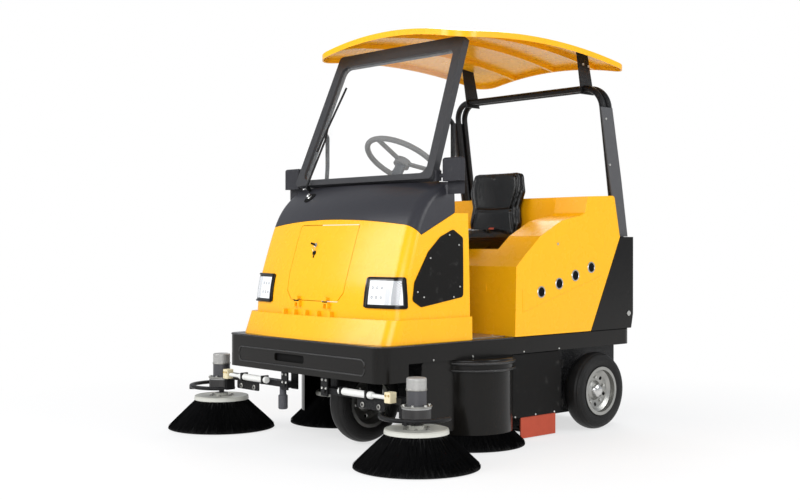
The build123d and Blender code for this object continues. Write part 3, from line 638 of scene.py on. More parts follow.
def tuft(root_radius, tip_radius, spread, count):
    """Bristles that leave the plate at one radius and reach the ground at another, in millimetres."""
    bm = bmesh.new()
    for number in range(count):
        root = Vector((root_radius + rng.uniform(-4, 4), rng.uniform(-5, 5), root_height)) / 1000
        tip = Vector((tip_radius + rng.uniform(-9, 5), rng.uniform(-spread, spread), rng.uniform(3.5, 13)))
        tip = tip / 1000
        knee_radius = root_radius + knee_share * (tip_radius - root_radius)
        knee = Vector((knee_radius, rng.uniform(-8, 8), knee_height)) / 1000
        copy = bristle.copy()
        for vert in copy.vertices:
            along = vert.co.z
            middle = root * (1 - along) ** 2 + knee * 2 * along * (1 - along) + tip * along ** 2
            vert.co = middle + Vector((vert.co.x * 0.0004, vert.co.y * 0.0013, vert.co.x * 0.0011))
        bm.from_mesh(copy)
        bpy.data.meshes.remove(copy)
    bmesh.ops.recalc_face_normals(bm, faces=bm.faces)
    return as_mesh(bm, "tuft")


tuft_rows = [(112, 245, 26, 64), (104, 236, 26, 52), (94, 222, 24, 40)]
tufts = [[tuft(root, tip, spread, 20) for _ in range(3)] for root, tip, spread, count in tuft_rows]
print("made", sum(len(row) for row in tufts), "tufts of 20 bristles")

# %% [markdown]
# Each disc brush carries its tufts in a ring round its own axis. Thousands of bristles would be slow
# to bend one by one, so copies of a few tufts are turned round the axis, each by a slightly random
# step. The rings ride on the brushes and spin with them.

# %% Four side brushes
brush_centres = {"front_brush_left": (0.677, -0.683), "front_brush_right": (-0.677, -0.683),
                 "mid_brush_left": (0.431, -0.148), "mid_brush_right": (-0.431, -0.148)}


def brush(name, centre):
    bm = bmesh.new()
    middle = Matrix.Translation((*centre, 0.0))
    for row, (root, tip, spread, count) in zip(tufts, tuft_rows):
        turns = [math.tau * (number + rng.uniform(-0.2, 0.2)) / count for number in range(count)]
        for turn in turns:
            add_copy(bm, rng.choice(row), middle @ Matrix.Rotation(turn, 4, "Z"))
    return piece(name + "_bristles", bm, bristle_black, name)


brushes = [brush(name, centre) for name, centre in brush_centres.items()]
print("four brushes of", len(brushes[0].data.polygons), "faces each")

# %% [markdown]
# Each brush plate has a turned-down lip round its edge and six bolts round its hub. The lip and the
# bolt are outlines turned round an axis, which is the surest way to a round thing with a rim.

# %% Lips and bolts of the brush plates
lip_outline = [(0.1215, 0.151), (0.1275, 0.1465), (0.1285, 0.134), (0.1262, 0.134), (0.1262, 0.1445),
               (0.1205, 0.1505), (0.1205, 0.1525), (0.1215, 0.1525)]
lip = as_mesh(turned(lip_outline, 64), "plate_lip")
bolt_outline = [(0.0, 0.0), (0.0085, 0.0), (0.0085, 0.0012), (0.0058, 0.0018), (0.0058, 0.0055),
                (0.0, 0.0062)]
plate_bolt = as_mesh(turned(bolt_outline, 12), "plate_bolt")
plate_top, hub_circle = 0.151, 0.052
zinc_grey = bare("zinc_grey", srgb(168, 167, 162), 0.35, 120.0)
plate_pale = moulded("plate_pale", srgb(206, 206, 197), srgb(160, 159, 150), 0.3, 0.0006)


def bolt_ring(centre, height, radius, share=0.0):
    """Six places round a brush's axis, turned on by a share of a step."""
    middle = Matrix.Translation((*centre, height))
    out = Matrix.Translation((radius, 0.0, 0.0))
    return [middle @ Matrix.Rotation(math.tau * (n + share) / 6, 4, "Z") @ out for n in range(6)]


for name, centre in brush_centres.items():
    piece(name + "_lip", repeated(lip, [Matrix.Translation((*centre, 0.0))]), plate_pale, name)
    bolts = repeated(plate_bolt, bolt_ring(centre, plate_top, hub_circle, 0.25))
    piece(name + "_bolts", bolts, zinc_grey, name)
print("plates have their lips and bolts")

# %% [markdown]
# The driver's seat has a thick cushion and a waisted backrest in black leather. Real foam swells
# against its cover, so each pad starts as a slightly small rounded block, is remeshed evenly and is
# blown up by a cloth simulation. The seams come after it, as narrow dents pressed along their lines.

# %% A pad that swells
voxel, pressure, swell_frames = 0.006, 4.0, 20


def block(half_x, half_y, half_z, corner):
    """A rounded block with many faces, about its own middle."""
    bm = bmesh.new()
    bmesh.ops.create_cube(bm, size=2.0)
    bmesh.ops.scale(bm, vec=(half_x, half_y, half_z), verts=bm.verts)
    rounded(bm, corner, segments=4)
    return bm


def with_modifiers(obj):
    """The object's mesh as its modifiers leave it."""
    return bpy.data.meshes.new_from_object(obj.evaluated_get(bpy.context.evaluated_depsgraph_get()))


def swollen(name, bm, limit):
    """Remeshes a block, lets it swell against its own skin and keeps the moves under a limit."""
    obj = bpy.data.objects.new(name, as_mesh(bm, name))
    scene.collection.objects.link(obj)
    remesh = obj.modifiers.new("remesh", "REMESH")
    remesh.mode = "VOXEL"
    remesh.voxel_size = voxel
    held = with_modifiers(obj)
    obj.modifiers.clear()
    obj.data = held
    before = [vert.co.copy() for vert in held.vertices]
    cloth = obj.modifiers.new("cloth", "CLOTH")
    cloth.settings.use_pressure = True
    cloth.settings.uniform_pressure_force = pressure
    cloth.settings.effector_weights.gravity = 0.0
    cloth.settings.quality = 5
    for number in range(swell_frames):
        scene.frame_set(number + 1)
    puffed = with_modifiers(obj)
    obj.modifiers.clear()
    for vert, start, end in zip(held.vertices, before, puffed.vertices):
        move = end.co - start
        vert.co = start + move * min(1.0, limit / max(move.length, 1e-9))
    scene.frame_set(1)
    return obj


def groove(distance, width):
    """How deep a seam is at a distance from its line, from 1 on the line to 0 far from it."""
    return math.exp(-(distance / width) ** 2)


def finish_pad(obj, body, node, place):
    for polygon in obj.data.polygons:
        polygon.use_smooth = True
    subdivision = obj.modifiers.new("smooth", "SUBSURF")
    subdivision.levels = 1
    subdivision.render_levels = 1
    fine = with_modifiers(obj)
    obj.modifiers.clear()
    obj.data = fine
    fine.transform(place)
    dress(obj, leather)
    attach(obj, body)
    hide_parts(node)
    print(obj.name, "has", len(fine.polygons), "faces")


print("pad helpers ready")

# %% [markdown]
# The cushion is crowned and has a piping round its edge. Two seams part its middle from the side
# rolls, and a cross seam parts the part under the thighs, where the leather puckers a little. All of
# them are worked out from where a point lies on the pad, so they stay on it when the pad swells.

# %% Seat cushion
cushion_low, cushion_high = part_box("seat_cushion")
cushion_middle = (cushion_low + cushion_high) / 2
cushion_half = (cushion_high - cushion_low) / 2
side_seam, cross_seam, seam_width, piping_height = 0.118, -0.055, 0.007, 0.016
small_cushion = block(cushion_half.x - 0.008, cushion_half.y - 0.008, cushion_half.z - 0.010, 0.030)
cushion = swollen("seat_cushion_pad", small_cushion, 0.009)
for vert in cushion.data.vertices:
    x, y, z = vert.co
    across = x / cushion_half.x
    along = y / cushion_half.y
    crown = max(0.0, 1 - across ** 4) * max(0.0, 1 - along ** 4)
    pucker = 0.0012 * math.sin(x * 95) * groove(along + 0.25, 0.35)
    if z > 0:
        depth = 0.008 * groove(abs(x) - side_seam, seam_width)
        depth += 0.007 * groove(y - cross_seam, seam_width) * (abs(x) < side_seam)
        vert.co.z = z - 0.010 + 0.012 * crown - depth + pucker
    piping = 0.0025 * groove(z - piping_height, 0.004)
    vert.co.x += math.copysign(piping, x) * (abs(across) > 0.9)
    vert.co.y += math.copysign(piping, y) * (abs(along) > 0.9)
    vert.co.z = max(vert.co.z, 0.0006 - cushion_half.z)
finish_pad(cushion, "chassis", "seat_cushion", Matrix.Translation(cushion_middle))

# %% [markdown]
# The backrest leans back, is narrow at its waist and thins towards its top. Its cover has one upper
# panel, one lower panel and a roll at each side, so its seams follow the outline about five
# centimetres inside it. The outline is a few half widths with smooth steps between them.

# %% Backrest
back_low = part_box("seat_back")[0]
back_foot = Vector((0.0, back_low.y, back_low.z))
back_height, back_slope, back_half_depth, back_taper = 0.378, 0.117, 0.0275, 0.22
back_outline = ((0.0, 0.150), (0.070, 0.190), (0.170, 0.172), (0.290, 0.197),
                (0.335, 0.192), (0.362, 0.172), (back_height, 0.132))
block_half_width, side_roll, panel_seam = 0.17, 0.052, 0.175


def half_width_at(height):
    """Half the backrest's width at a height over its foot."""
    height = min(max(height, 0.0), back_height)
    for (low, wide), (high, next_wide) in zip(back_outline, back_outline[1:]):
        if height <= high:
            share = (height - low) / (high - low)
            share = share * share * (3 - 2 * share)
            return wide + (next_wide - wide) * share


back_block = block(block_half_width, 0.020, back_height / 2 - 0.006, 0.018)
bmesh.ops.subdivide_edges(back_block, edges=list(back_block.edges), cuts=3, use_grid_fill=True)
for vert in back_block.verts:
    vert.co.x *= (half_width_at(vert.co.z + back_height / 2) - 0.008) / block_half_width
backrest = swollen("seat_back_pad", back_block, 0.008)
for vert in backrest.data.vertices:
    x, y, z = vert.co
    height = z + back_height / 2
    inner = half_width_at(height) - side_roll
    if y < 0:
        depth = 0.008 * groove(abs(x) - inner, seam_width) * (0.02 < height < 0.35)
        depth += 0.008 * groove(height - panel_seam - 0.35 * x * x, seam_width) * (abs(x) < inner)
        dish = 0.008 * max(0.0, 1 - (x / inner) ** 2) * max(0.0, 1 - ((height - 0.18) / 0.2) ** 2)
        vert.co.y = y + depth + dish
    y = min(max(vert.co.y, -back_half_depth), back_half_depth) + back_half_depth
    vert.co.y = y * (1.0 - back_taper * max(0.0, height) / back_height) - back_half_depth
lean = Matrix.Translation(back_foot) @ Matrix.Rotation(-math.atan(back_slope), 4, "X")
lean = lean @ Matrix.Translation((0.0, back_half_depth + 0.001, back_height / 2))
finish_pad(backrest, "chassis", "seat_back", lean)

# %% [markdown]
# Small screws show where covers, doors and flaps are held. All are one bevelled head with a socket
# sunk in its top, repeated on the real surface with the size that the place asks for. A ray from
# outside finds the surface and its normal, so that every head stands square on it.

# %% Screws
screw_bm = cone(18, 1.0, 0.86, 0.5, -0.05)
screw_top = max(screw_bm.faces, key=lambda face: face.calc_center_median().z)
rounded(screw_bm, 0.12, list(screw_top.edges))
screw_top = max(screw_bm.faces, key=lambda face: (round(face.calc_center_median().z, 4), face.calc_area()))
bmesh.ops.inset_individual(screw_bm, faces=[screw_top], thickness=0.32)
bmesh.ops.translate(screw_bm, vec=(0.0, 0.0, -0.22), verts=screw_top.verts)
bmesh.ops.recalc_face_normals(screw_bm, faces=screw_bm.faces)
screw = as_mesh(screw_bm, "screw")
beside, ahead = 0.9, 1.2


def screws(name, body, node, rays, size):
    """Screws of one size where rays meet one solid."""
    places = [facing(*touch(node, *ray), size, rng.uniform(0, 1)) for ray in rays]
    piece(name, repeated(screw, places), screw_zinc, body)


def from_sides(places, sides=(-1, 1)):
    """Rays that come from beside the machine at places along and up it."""
    return [((side * beside, y, z), (-side, 0, 0)) for side in sides for y, z in places]


def from_front(x, z):
    return (x, -ahead, z), (0, 1, 0)


leaf_screws = ((-0.329, 0.907), (-0.276, 0.865), (-0.440, 0.811), (-0.276, 0.689), (-0.515, 0.672),
               (-0.312, 0.646), (-0.480, 0.650))
screws("cover_panel_screws", "chassis", "cab_side_panels", from_sides(leaf_screws), 0.0042)
band_screws = ((-0.456, 0.392), (-0.224, 0.392), (0.10, 0.392), (0.34, 0.392))
screws("band_screws", "chassis", "chassis_base", from_sides(band_screws), 0.0045)
door_screws = ((0.045, 0.106), (0.181, 0.106), (0.31, 0.106))
for side, word in both_sides:
    door = "side_door_" + word
    screws("flap_screws_" + word, door, door, from_sides(door_screws, (side,)), 0.005)
floor_screws = [((x, y, 0.7), (0, 0, -1)) for x in (-0.44, -0.15, 0.15, 0.44) for y in (-0.24, 0.0)]
screws("floor_screws", "chassis", "floor_plate", floor_screws, 0.005)
print("screws stand on their surfaces")

# %% [markdown]
# The rims are pressed steel with a domed cap over the hub and five nuts round it. The cap is an
# outline turned round the axle, and the nut is a six sided cone with a bevel.

# %% Hub caps and wheel nuts
nut_bm = cone(6, 1.0, 0.94, 0.9)
rounded(nut_bm, 0.08)
nut = as_mesh(nut_bm, "nut")
cap_outline = [(0.0, 0.0), (0.034, 0.0), (0.034, 0.006), (0.029, 0.015), (0.020, 0.021), (0.010, 0.0235),
               (0.0, 0.024)]
cap = as_mesh(turned(cap_outline, 32), "cap")
chrome = bare("cap_chrome", srgb(226, 226, 224), 0.08, 60.0)
hub_face, nut_circle = 0.5545, 0.062

for side, word in both_sides:
    wheel = "rear_wheel_" + word
    centre = Vector((side * hub_face, rear_axle, axle_height))
    piece("hub_cap_" + word, repeated(cap, [facing(centre, (side, 0, 0))]), chrome, wheel)
    nuts = []
    for number in range(5):
        turn = math.tau * (number + 0.25 - side * 0.25) / 5
        start = (side * 0.7, centre.y + nut_circle * math.sin(turn), centre.z + nut_circle * math.cos(turn))
        nuts.append(facing(*touch("rear_rim_" + word, start, (-side, 0, 0)), 0.008, turn))
    piece("wheel_nuts_" + word, repeated(nut, nuts), screw_zinc, wheel)
print("hubs are capped")

# %% [markdown]
# The seat box breathes through four round vents a side. Inside each bright rim sits a black disc with
# narrow bars: the disc is painted shade for the dark inside of the vent, the bars are its grille. The solid
# keeps its skin there, and the black cup on it looks like a hole from anywhere.

# %% Vents
vent_bore = 0.0212
vent_outline = [(vent_bore, 0.0), (0.0272, 0.0), (0.0272, 0.0012), (0.0256, 0.0032), (0.0226, 0.0034),
                (vent_bore, 0.0018)]
vent_rim = as_mesh(turned(vent_outline, 40), "vent_rim")
cup_bm = turned([(0.0, 0.0), (0.0213, 0.0), (0.0213, 0.0008), (0.0, 0.0008)], 28)
for offset in (-0.012, -0.004, 0.004, 0.012):
    add_box(cup_bm, (0.0018, 2 * math.sqrt(vent_bore ** 2 - offset ** 2), 0.0012), (offset, 0.0, 0.0013))
cup = as_mesh(cup_bm, "cup")
vent_places = ((0.213, 0.653), (0.337, 0.688), (0.452, 0.723), (0.569, 0.759))
cups = [facing(*touch("rear_box", *ray)) for ray in from_sides(vent_places)]
# The black cups are painted shade inside the vents, with the grille's bars on them.
piece("vent_shade_and_grilles", repeated(cup, cups), hole_shade_and_key_black, "chassis")
piece("vent_rims", repeated(vent_rim, cups), screw_zinc, "chassis")
print(len(cups), "vents are dark inside")

# %% [markdown]
# Locks are small barrels with a rim and a slot. One stands on each side of the seat box, one on each
# side of the rear shell, and the hood's lock has its key in it, with a second one hanging below. Both
# keys are a flat round bow with a short blade, and their ring is a small circle turned round an axis.

# %% Locks and keys
barrel_outline = [(0.0, -0.001), (1.0, -0.001), (1.0, 0.25), (0.86, 0.38), (0.66, 0.38), (0.6, 0.28),
                  (0.0, 0.28)]
barrel = as_mesh(turned(barrel_outline, 28), "barrel")


def locks(name, node, rays, size):
    places = [facing(*touch(node, *ray), size) for ray in rays]
    piece(name, repeated(barrel, places), screw_zinc, body_of_node[node])


locks("box_locks", "rear_box", from_sides(((0.328, 0.869),)), 0.0065)
locks("shell_locks", "rear_shell", from_sides(((0.858, 0.532),)), 0.013)
lock_ray = from_front(-0.053, 0.864)
locks("hood_lock", "front_hood", [lock_ray], 0.010)
lock_place, lock_normal = touch("front_hood", *lock_ray)

key_bm = cone(20, 0.0105, 0.0105, 0.005, -0.0025)
add_box(key_bm, (0.007, 0.014, 0.003), (0.0, -0.015, 0.0))
rounded(key_bm, 0.0008)
key = as_mesh(key_bm, "key")
stand = facing(lock_place + lock_normal * 0.017, lock_normal) @ Matrix.Rotation(math.radians(80), 4, "X")
below = lock_place + Vector((0.004, -0.012, -0.034))
hang = Matrix.Translation(below) @ Matrix.Rotation(math.radians(72), 4, "X")
piece("hood_keys", repeated(key, [stand, hang]), hole_shade_and_key_black, "front_hood")

ring_bm = bmesh.new()
bmesh.ops.create_circle(ring_bm, cap_ends=False, segments=8, radius=0.0007)
moved(ring_bm, (0.011, 0.0, 0.0))
bmesh.ops.spin(ring_bm, geom=ring_bm.verts[:] + ring_bm.edges[:], cent=(0, 0, 0), axis=(0, 1, 0),
               angle=math.tau, steps=28, use_merge=True)
bmesh.ops.recalc_face_normals(ring_bm, faces=ring_bm.faces)
moved(tilted(ring_bm, 180, "X"), lock_place + Vector((0.002, -0.014, -0.016)))
piece("key_ring", ring_bm, chrome, "front_hood")
print("the key is in the hood's lock")

# %% [markdown]
# Each mirror has a silvered glass in its rear face. The glass is a flat block with its corners
# rounded first and its edge after, so that the small bevel follows the round corners. Many flat
# parts further down are made by the same function.

# %% Mirror glasses
silver = Finish("silvered_glass", metallic=1.0)
silver.set(base_color=silver.blend(silver.noise(4.0), (0.86, 0.88, 0.9, 1.0), (0.8, 0.82, 0.84, 1.0)))
silver.set(roughness=0.02 + silver.noise(9.0) * 0.03)


def plate(width, height, depth, corner, edge=0.0008):
    """A flat plate in X and Z with round corners, its back at y 0 and its face towards plus Y."""
    bm = bmesh.new()
    add_box(bm, (width, depth, height), (0.0, depth / 2, 0.0))
    deep = [e for e in bm.edges if abs(e.verts[0].co.y - e.verts[1].co.y) > depth / 2]
    rounded(bm, corner, deep, 5)
    rim = [e for e in bm.edges if min(v.co.y for v in e.verts) > depth * 0.99]
    rounded(bm, edge, rim, 1)
    return bm


for side, word in both_sides:
    mirror_bm = moved(plate(0.092, 0.136, 0.002, 0.014), (side * 0.548, -0.3332, 1.152))
    piece("mirror_glass_" + word, mirror_bm, silver.material, "chassis")
print("two mirror glasses")

# %% [markdown]
# The driver's switches sit on a small panel on the dash's rear face: a blank plate, three rockers, a
# round gauge without marks and a key switch. They are told apart by shape alone, so the rockers stand
# proud with a wide bevel and the round ones use the lock's barrel in two sizes.

# %% Switch panel
panel_at = touch("dash", (0.23, 0.1, 1.065), (0, -1, 0))[0]
panel_depth = 0.006
panel_bm = moved(plate(0.22, 0.062, panel_depth, 0.010), panel_at)
piece("switch_panel", panel_bm, black_sheet, "chassis")
rockers = [moved(plate(0.020, 0.034, 0.006, 0.003, 0.0015), panel_at + Vector((offset, panel_depth, 0.0)))
           for offset in (-0.085, -0.055, -0.025)]
piece("switch_rockers", joined(rockers), grip_plastic, "chassis")
dials = [facing(panel_at + Vector((offset, panel_depth, 0.0)), (0, 1, 0), size)
         for offset, size in ((0.025, 0.021), (0.080, 0.014))]
piece("gauge_and_switch", repeated(barrel, dials), chrome, "chassis")
print("switch panel stands on the dash")

# %% [markdown]
# Small parts crowd the front arms. A white lift cylinder lies along each beam's front, held by two
# clamps, with its thin rod reaching a cream relay block. A plate with two bushes hangs under the beam,
# and a grey buffer hangs inside the right arm. Round parts are turned outlines, flat ones are plates.

# %% Lift cylinders and blocks
brass = bare("brass", srgb(205, 170, 96), 0.25, 90.0)
cylinder_outline = [(0.0, 0.0), (0.013, 0.0), (0.015, 0.002), (0.015, 0.050), (0.0142, 0.052),
                    (0.0142, 0.056), (0.015, 0.058), (0.015, 0.204), (0.012, 0.210), (0.0085, 0.210),
                    (0.0085, 0.288), (0.0, 0.288)]
cylinder = as_mesh(turned(cylinder_outline, 32), "cylinder")
bush_outline = [(0.0055, 0.0), (0.0115, 0.0), (0.0115, 0.0022), (0.0095, 0.0035), (0.0055, 0.0035)]
bush = as_mesh(turned(bush_outline, 24), "bush")
hole = as_mesh(turned([(0.0, 0.0), (0.0058, 0.0), (0.0058, 0.0006), (0.0, 0.0006)], 16), "hole")
beam_front, rod_height, relay_x, hanger_x = -0.704, 0.262, 0.566, 0.430


def front_plate(width, height, depth, corner, place, edge=0.001):
    """A plate that faces the front of the machine."""
    return moved(tilted(plate(width, height, depth, corner, edge), 180, "Z"), place)


for side, word in both_sides:
    arm = "brush_arm_" + word
    run = facing((side * 0.255, -0.7225, rod_height), (side, 0, 0))
    piece("lift_cylinder_" + word, repeated(cylinder, [run]), enamel, arm)
    clamps = [front_plate(0.012, 0.038, 0.036, 0.003, (side * x, beam_front, rod_height))
              for x in (0.275, 0.435)]
    piece("cylinder_clamps_" + word, joined(clamps), black_steel, arm)
    relay = front_plate(0.036, 0.044, 0.034, 0.004, (side * relay_x, beam_front, 0.264), 0.002)
    piece("relay_block_" + word, relay, cream_plastic, arm)
    heads = [facing((side * relay_x + shift, -0.7378, 0.272), (0, -1, 0), 0.005) for shift in (-0.009, 0.009)]
    piece("relay_screws_" + word, repeated(screw, heads), brass, arm)
    hanger = front_plate(0.170, 0.036, 0.005, 0.006, (side * hanger_x, -0.7005, 0.220))
    piece("arm_plate_" + word, hanger, black_steel, arm)
    bushes = [facing((side * hanger_x + shift, -0.7055, 0.216), (0, -1, 0)) for shift in (-0.050, 0.050)]
    piece("plate_bushes_" + word, repeated(bush, bushes), zinc_grey, arm)
    # The black discs in the bushes' bores are painted shade.
    piece("plate_holes_" + word, repeated(hole, bushes), hole_shade_and_key_black, arm)
buffer_outline = [(0.0, 0.0), (0.017, 0.0), (0.021, 0.004), (0.021, 0.060), (0.015, 0.066),
                  (0.015, 0.121), (0.0, 0.121)]
buffer_bm = moved(turned(buffer_outline, 32), (-0.190, -0.683, 0.1363))
piece("arm_buffer", buffer_bm, motor_paint, "brush_arm_right")
print("arms have their small parts")

# %% [markdown]
# The brush motors have a bright joint under their cap, and a flange with six bolts on their gearbox.
# Both rings are turned round the brush's axis, and the bolts are the ones of the brush plates.

# %% Motor rings and gearbox bolts
joint_outline = [(0.0395, 0.3005), (0.0418, 0.3005), (0.0424, 0.302), (0.0424, 0.305), (0.0418, 0.3065),
                 (0.0395, 0.3065)]
joint = as_mesh(turned(joint_outline, 48), "motor_joint")
flange_outline = [(0.0400, 0.2355), (0.0605, 0.2355), (0.0615, 0.2365), (0.0615, 0.2405),
                  (0.0605, 0.2415), (0.0400, 0.2415)]
flange = as_mesh(turned(flange_outline, 56), "flange")
flange_face, flange_circle = 0.2415, 0.051
for side, word in both_sides:
    body = body_of_node["brush_drive_" + word]
    centre = brush_centres["front_brush_" + word]
    place = Matrix.Translation((*centre, 0.0))
    piece("motor_joint_" + word, repeated(joint, [place]), zinc_grey, body)
    piece("gearbox_flange_" + word, repeated(flange, [place]), zinc_grey, body)
    bolts = repeated(plate_bolt, bolt_ring(centre, flange_face, flange_circle))
    piece("gearbox_bolts_" + word, bolts, screw_zinc, body)
print("motors are bolted down")

# %% [markdown]
# A black bezel frames each head lamp and follows the cab round its corner. The cab's outline is an
# arc across the front, a straight side and a rounded corner, so the bezel's path is worked out from
# those three and the frame's section is laid along it.

# %% Lamp bezels
band_foot, band_height = 0.610, 0.120
bezel_low, bezel_high, bezel_inner_x, bezel_rear_y = 0.611, 0.728, 0.3325, -0.576


def arc(middle, radius, first, last, steps):
    """Points of an arc, with their outward directions."""
    turns = [first + (last - first) * number / steps for number in range(steps + 1)]
    looks = [Vector((math.cos(turn), math.sin(turn))) for turn in turns]
    return [(middle + look * radius, look) for look in looks]


def cab_line(height):
    """Points and outward directions of the cab's left outline at a height, from the middle to the side."""
    share = (height - band_foot) / band_height
    front = -0.667 + 0.020 * share
    half = 0.498 - 0.002 * share
    rear = Vector((0.514 - 0.002 * share, -0.095))
    bow, round_off, begin_x = 0.052, 0.058, 0.318
    radius = (half * half + bow * bow) / (2 * bow)
    middle = Vector((0.0, front + radius))
    corner = Vector((half, front + bow))
    along = (rear - corner).normalized()
    out = Vector((along.y, -along.x))
    start = corner - out * round_off - middle
    reach = start.dot(along)
    run = -reach - math.sqrt(reach * reach - start.dot(start) + (radius - round_off) ** 2)
    pivot = middle + start + along * run
    first = math.atan2(*reversed(pivot - middle))
    last = math.atan2(out.y, out.x)
    begin = math.atan2(-math.sqrt(radius ** 2 - begin_x ** 2), begin_x)
    line = arc(middle, radius, begin, first, 12) + arc(pivot, round_off, first, last, 14)[1:]
    return line + [(pivot + out * round_off + along * 0.006 * number, out) for number in range(1, 5)]


def on_cab(line, run):
    """The place at a length along a line of points, with its outward direction."""
    for (here, look), (there, next_look) in zip(line, line[1:]):
        step = (there - here).length
        if run <= step:
            share = run / step
            return here.lerp(there, share), look.lerp(next_look, share)
        run -= step
    return line[-1]


def run_to(level, reached):
    """How far along the outline at a level the first place lies that meets a test."""
    line = cab_line(level)
    return next(n / 2000 for n in range(1400) if reached(on_cab(line, n / 2000)[0]))


def lofted(bm, loops, next_loops):
    """Walls from each loop of vertices to the next one."""
    for here, there in zip(loops, next_loops):
        for number in range(len(here)):
            after = (number + 1) % len(here)
            bm.faces.new((here[number], there[number], there[after], here[after]))


def lamp_bezel(side):
    """A closed frame round a lamp: along its foot, up its rear end, back along its top and down."""
    levels = [bezel_low + (bezel_high - bezel_low) * n / 8 for n in range(9)]
    inner = [run_to(level, lambda place: place.x >= bezel_inner_x) for level in levels]
    outer = [run_to(level, lambda place: place.y >= bezel_rear_y) for level in levels]
    corners = [(inner[0] + (outer[0] - inner[0]) * n / 30, bezel_low, 0, -1) for n in range(31)]
    corners += [(run, level, 1, 0) for run, level in zip(outer, levels)]
    corners += [(outer[-1] + (inner[-1] - outer[-1]) * n / 30, bezel_high, 0, 1) for n in range(31)]
    corners += [(run, level, -1, 0) for run, level in zip(reversed(inner), reversed(levels))]
    section = ((-0.002, 0.0), (-0.002, 0.0085), (0.0, 0.0105), (0.004, 0.0105), (0.006, 0.008),
               (0.006, -0.004))
    bm = bmesh.new()
    loops = []
    for run, height, along, up in corners:
        loop = []
        for wide, out in section:
            level = height + up * wide
            place, look = on_cab(cab_line(level), run + along * wide)
            place = place + look * out
            loop.append(bm.verts.new((side * place.x, place.y, level)))
        loops.append(loop)
    lofted(bm, loops, loops[1:] + loops[:1])
    bmesh.ops.remove_doubles(bm, verts=bm.verts, dist=0.00005)
    bmesh.ops.recalc_face_normals(bm, faces=bm.faces)
    return bm


for side, word in both_sides:
    piece("lamp_bezel_" + word, lamp_bezel(side), black_gloss, "chassis")
print("lamps are framed")

# %% [markdown]
# The bumper's face has a shallow bead in a long loop, a round bead runs along the top edge of the
# base's front and sides, and two lips run round each curved brush cover. All are a small round
# section laid along a path, where a moulded part has a rolled edge.

# %% Beads and lips
def bead(path, radius, closed, steps=10):
    """A round section laid along a path of points, capped where the path ends."""
    bm = bmesh.new()
    loops = []
    count = len(path)
    for number, place in enumerate(path):
        before = path[number - 1] if number or closed else place
        after = path[(number + 1) % count] if number + 1 < count or closed else place
        look = (Vector(after) - Vector(before)).normalized().to_track_quat("Z", "Y").to_matrix()
        loop = []
        for turn in range(steps):
            angle = math.tau * turn / steps
            spoke = look @ Vector((math.cos(angle), math.sin(angle), 0.0)) * radius
            loop.append(bm.verts.new(Vector(place) + spoke))
        loops.append(loop)
    if closed:
        lofted(bm, loops, loops[1:] + loops[:1])
    else:
        lofted(bm, loops, loops[1:])
        bm.faces.new(list(reversed(loops[0])))
        bm.faces.new(loops[-1])
    bmesh.ops.recalc_face_normals(bm, faces=bm.faces)
    return bm


def corner_run(middle_x, middle_y, radius, first, last, count=8):
    """Points of a quarter round in a plane."""
    turns = [math.radians(first + (last - first) * n / count) for n in range(count + 1)]
    return [(middle_x + radius * math.cos(t), middle_y + radius * math.sin(t)) for t in turns]


bumper_face = -0.7445
bumper_loop = []
for middle_x, middle_z, first in ((0.416, 0.382, 0), (-0.416, 0.382, 90), (-0.416, 0.362, 180),
                                  (0.416, 0.362, 270)):
    bumper_loop += [(x, bumper_face, z) for x, z in corner_run(middle_x, middle_z, 0.022, first, first + 90)]
piece("bumper_bead", bead(bumper_loop, 0.0046, True), black_shine, "chassis")

edge_half, edge_rear, edge_corner, corner_y, edge_height = 0.537, 0.03, 0.054, -0.690, 0.4565
corner_x = edge_half - edge_corner
edge_line = [(-edge_half, edge_rear)] + corner_run(-corner_x, corner_y, edge_corner, 180, 270)
edge_line += corner_run(corner_x, corner_y, edge_corner, 270, 360) + [(edge_half, edge_rear)]
edge_path = [(x, y, edge_height) for x, y in edge_line]
piece("base_edge_bead", bead(edge_path, 0.0038, False), black_shine, "chassis")

lip_turns = [math.radians(-74 + 128 * n / 30) for n in range(31)]
cover_x, cover_y = brush_centres["mid_brush_left"]
for side, word in both_sides:
    for number, (reach, height, thick) in enumerate(((0.2035, 0.366, 0.0085), (0.2045, 0.336, 0.0065))):
        lip_path = [(side * (cover_x + reach * math.cos(t)), cover_y + reach * math.sin(t), height)
                    for t in lip_turns]
        lip_bm = bead(lip_path, thick, False, 12)
        piece("cover_lip_" + word + str(number), lip_bm, black_shine, "chassis")
print("the base and the covers have their beads")
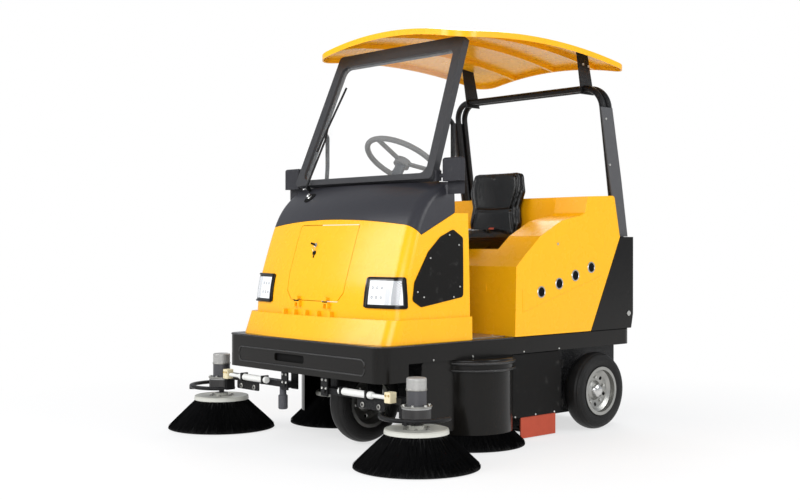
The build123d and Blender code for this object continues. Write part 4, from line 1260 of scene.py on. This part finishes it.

# %% [markdown]
# A few flat pieces finish the body: a wing in front of the left brush cover, a dark plate of painted
# shade behind the slot in the bumper, a yellow pan in the box's hand recess, a line stamped in each side
# of the box and two dark plates of painted shade where the hood's hinges reach through it. A dark plate
# reads as the shaded inside of an opening here, because each slot is narrow and nothing behind it could be
# seen.

# %% Wing, pan, stamped lines and slots
wing = tilted(plate(0.186, 0.298, 0.004, 0.012), -90, "Z")
piece("cover_wing_left", moved(wing, (0.5185, -0.4145, 0.2335)), black_gloss, "chassis")
for side, word in both_sides:
    stamped = [(side * 0.5408, y, z) for y, z in ((0.087, 0.671), (0.087, 0.566), (0.643, 0.717))]
    piece("stamped_line_" + word, bead(stamped, 0.0017, False, 6), yellow, "chassis")
# slot_back is painted shade for the dark inside of the bumper's slot.
slot_back = front_plate(0.24, 0.060, 0.002, 0.004, (-0.065, -0.730, 0.375))
piece("slot_back", slot_back, hole_shade_and_key_black, "chassis")
pan = front_plate(0.098, 0.043, 0.002, 0.003, (0.407, 0.0475, 0.6725))
piece("recess_pan", pan, yellow, "chassis")
# The hinge slots are dark plates of painted shade.
for number, x in enumerate((-0.1, 0.1)):
    slot_at = touch("front_hood", *from_front(x, 0.622))[0]
    slot = front_plate(0.034, 0.006, 0.0025, 0.0025, slot_at + Vector((0.0, 0.0012, 0.0)))
    piece("hinge_slot_" + str(number), slot, hole_shade_and_key_black, "front_hood")
print("wing, pan, lines and slots are on")

# %% [markdown]
# The wiper turns on a bright boss in a round recess of the dash, whose dark inside is painted shade.
# Both are turned outlines that stand on the dash where a ray from the front meets it.

# %% Wiper boss
recess_outline = [(0.0, 0.0), (0.030, 0.0), (0.032, 0.001), (0.030, 0.0025), (0.024, 0.001), (0.0, 0.001)]
recess = as_mesh(turned(recess_outline, 40), "recess")
boss_outline = [(0.0, 0.0), (0.013, 0.0), (0.013, 0.006), (0.010, 0.008), (0.010, 0.016), (0.007, 0.019),
                (0.0, 0.019)]
boss = as_mesh(turned(boss_outline, 28), "boss")
boss_stand = facing(*touch("dash", *from_front(-0.28, 1.081)))
# The recess's near-black is painted shade.
piece("wiper_recess", repeated(recess, [boss_stand]), hole_shade_and_key_black, "chassis")
piece("wiper_boss", repeated(boss, [boss_stand]), chrome, "chassis")
print("the wiper has its boss")

# %% [markdown]
# Bolts hold the roof to the roll bar's pads, the column covers to their tubes and the arms' brackets
# to the base. They are the screws from above in a larger size, again where rays meet the solids.

# %% Roof, column and bracket bolts
pad_bolts = ((0.695, 1.742), (0.735, 1.735))
screws("pad_bolts", "chassis", "hoop", from_sides(pad_bolts), 0.007)
column_screws = ((0.722, 1.47), (0.752, 1.25), (0.800, 0.97))
screws("column_screws", "chassis", "column_covers", from_sides(column_screws), 0.006)
bracket_rays = [from_front(side * 0.14 + shift, z) for side in (-1, 1) for shift in (-0.013, 0.013)
                for z in (0.262, 0.296)]
screws("bracket_bolts", "chassis", "arm_brackets", bracket_rays, 0.006)
print("bolts are in")

# %% [markdown]
# A small red tag without a word is sewn into the seam between the cushion and the backrest. It is a
# thin plate, turned to face the front and leant back with the seat.

# %% Seat tag
tag_bm = tilted(tilted(plate(0.034, 0.012, 0.0016, 0.002, 0.0004), 180, "Z"), -35, "X")
piece("seat_tag", moved(tag_bm, (0.013, 0.4475, 0.944)), red_rubber, "chassis")
print("seat tag sewn in")
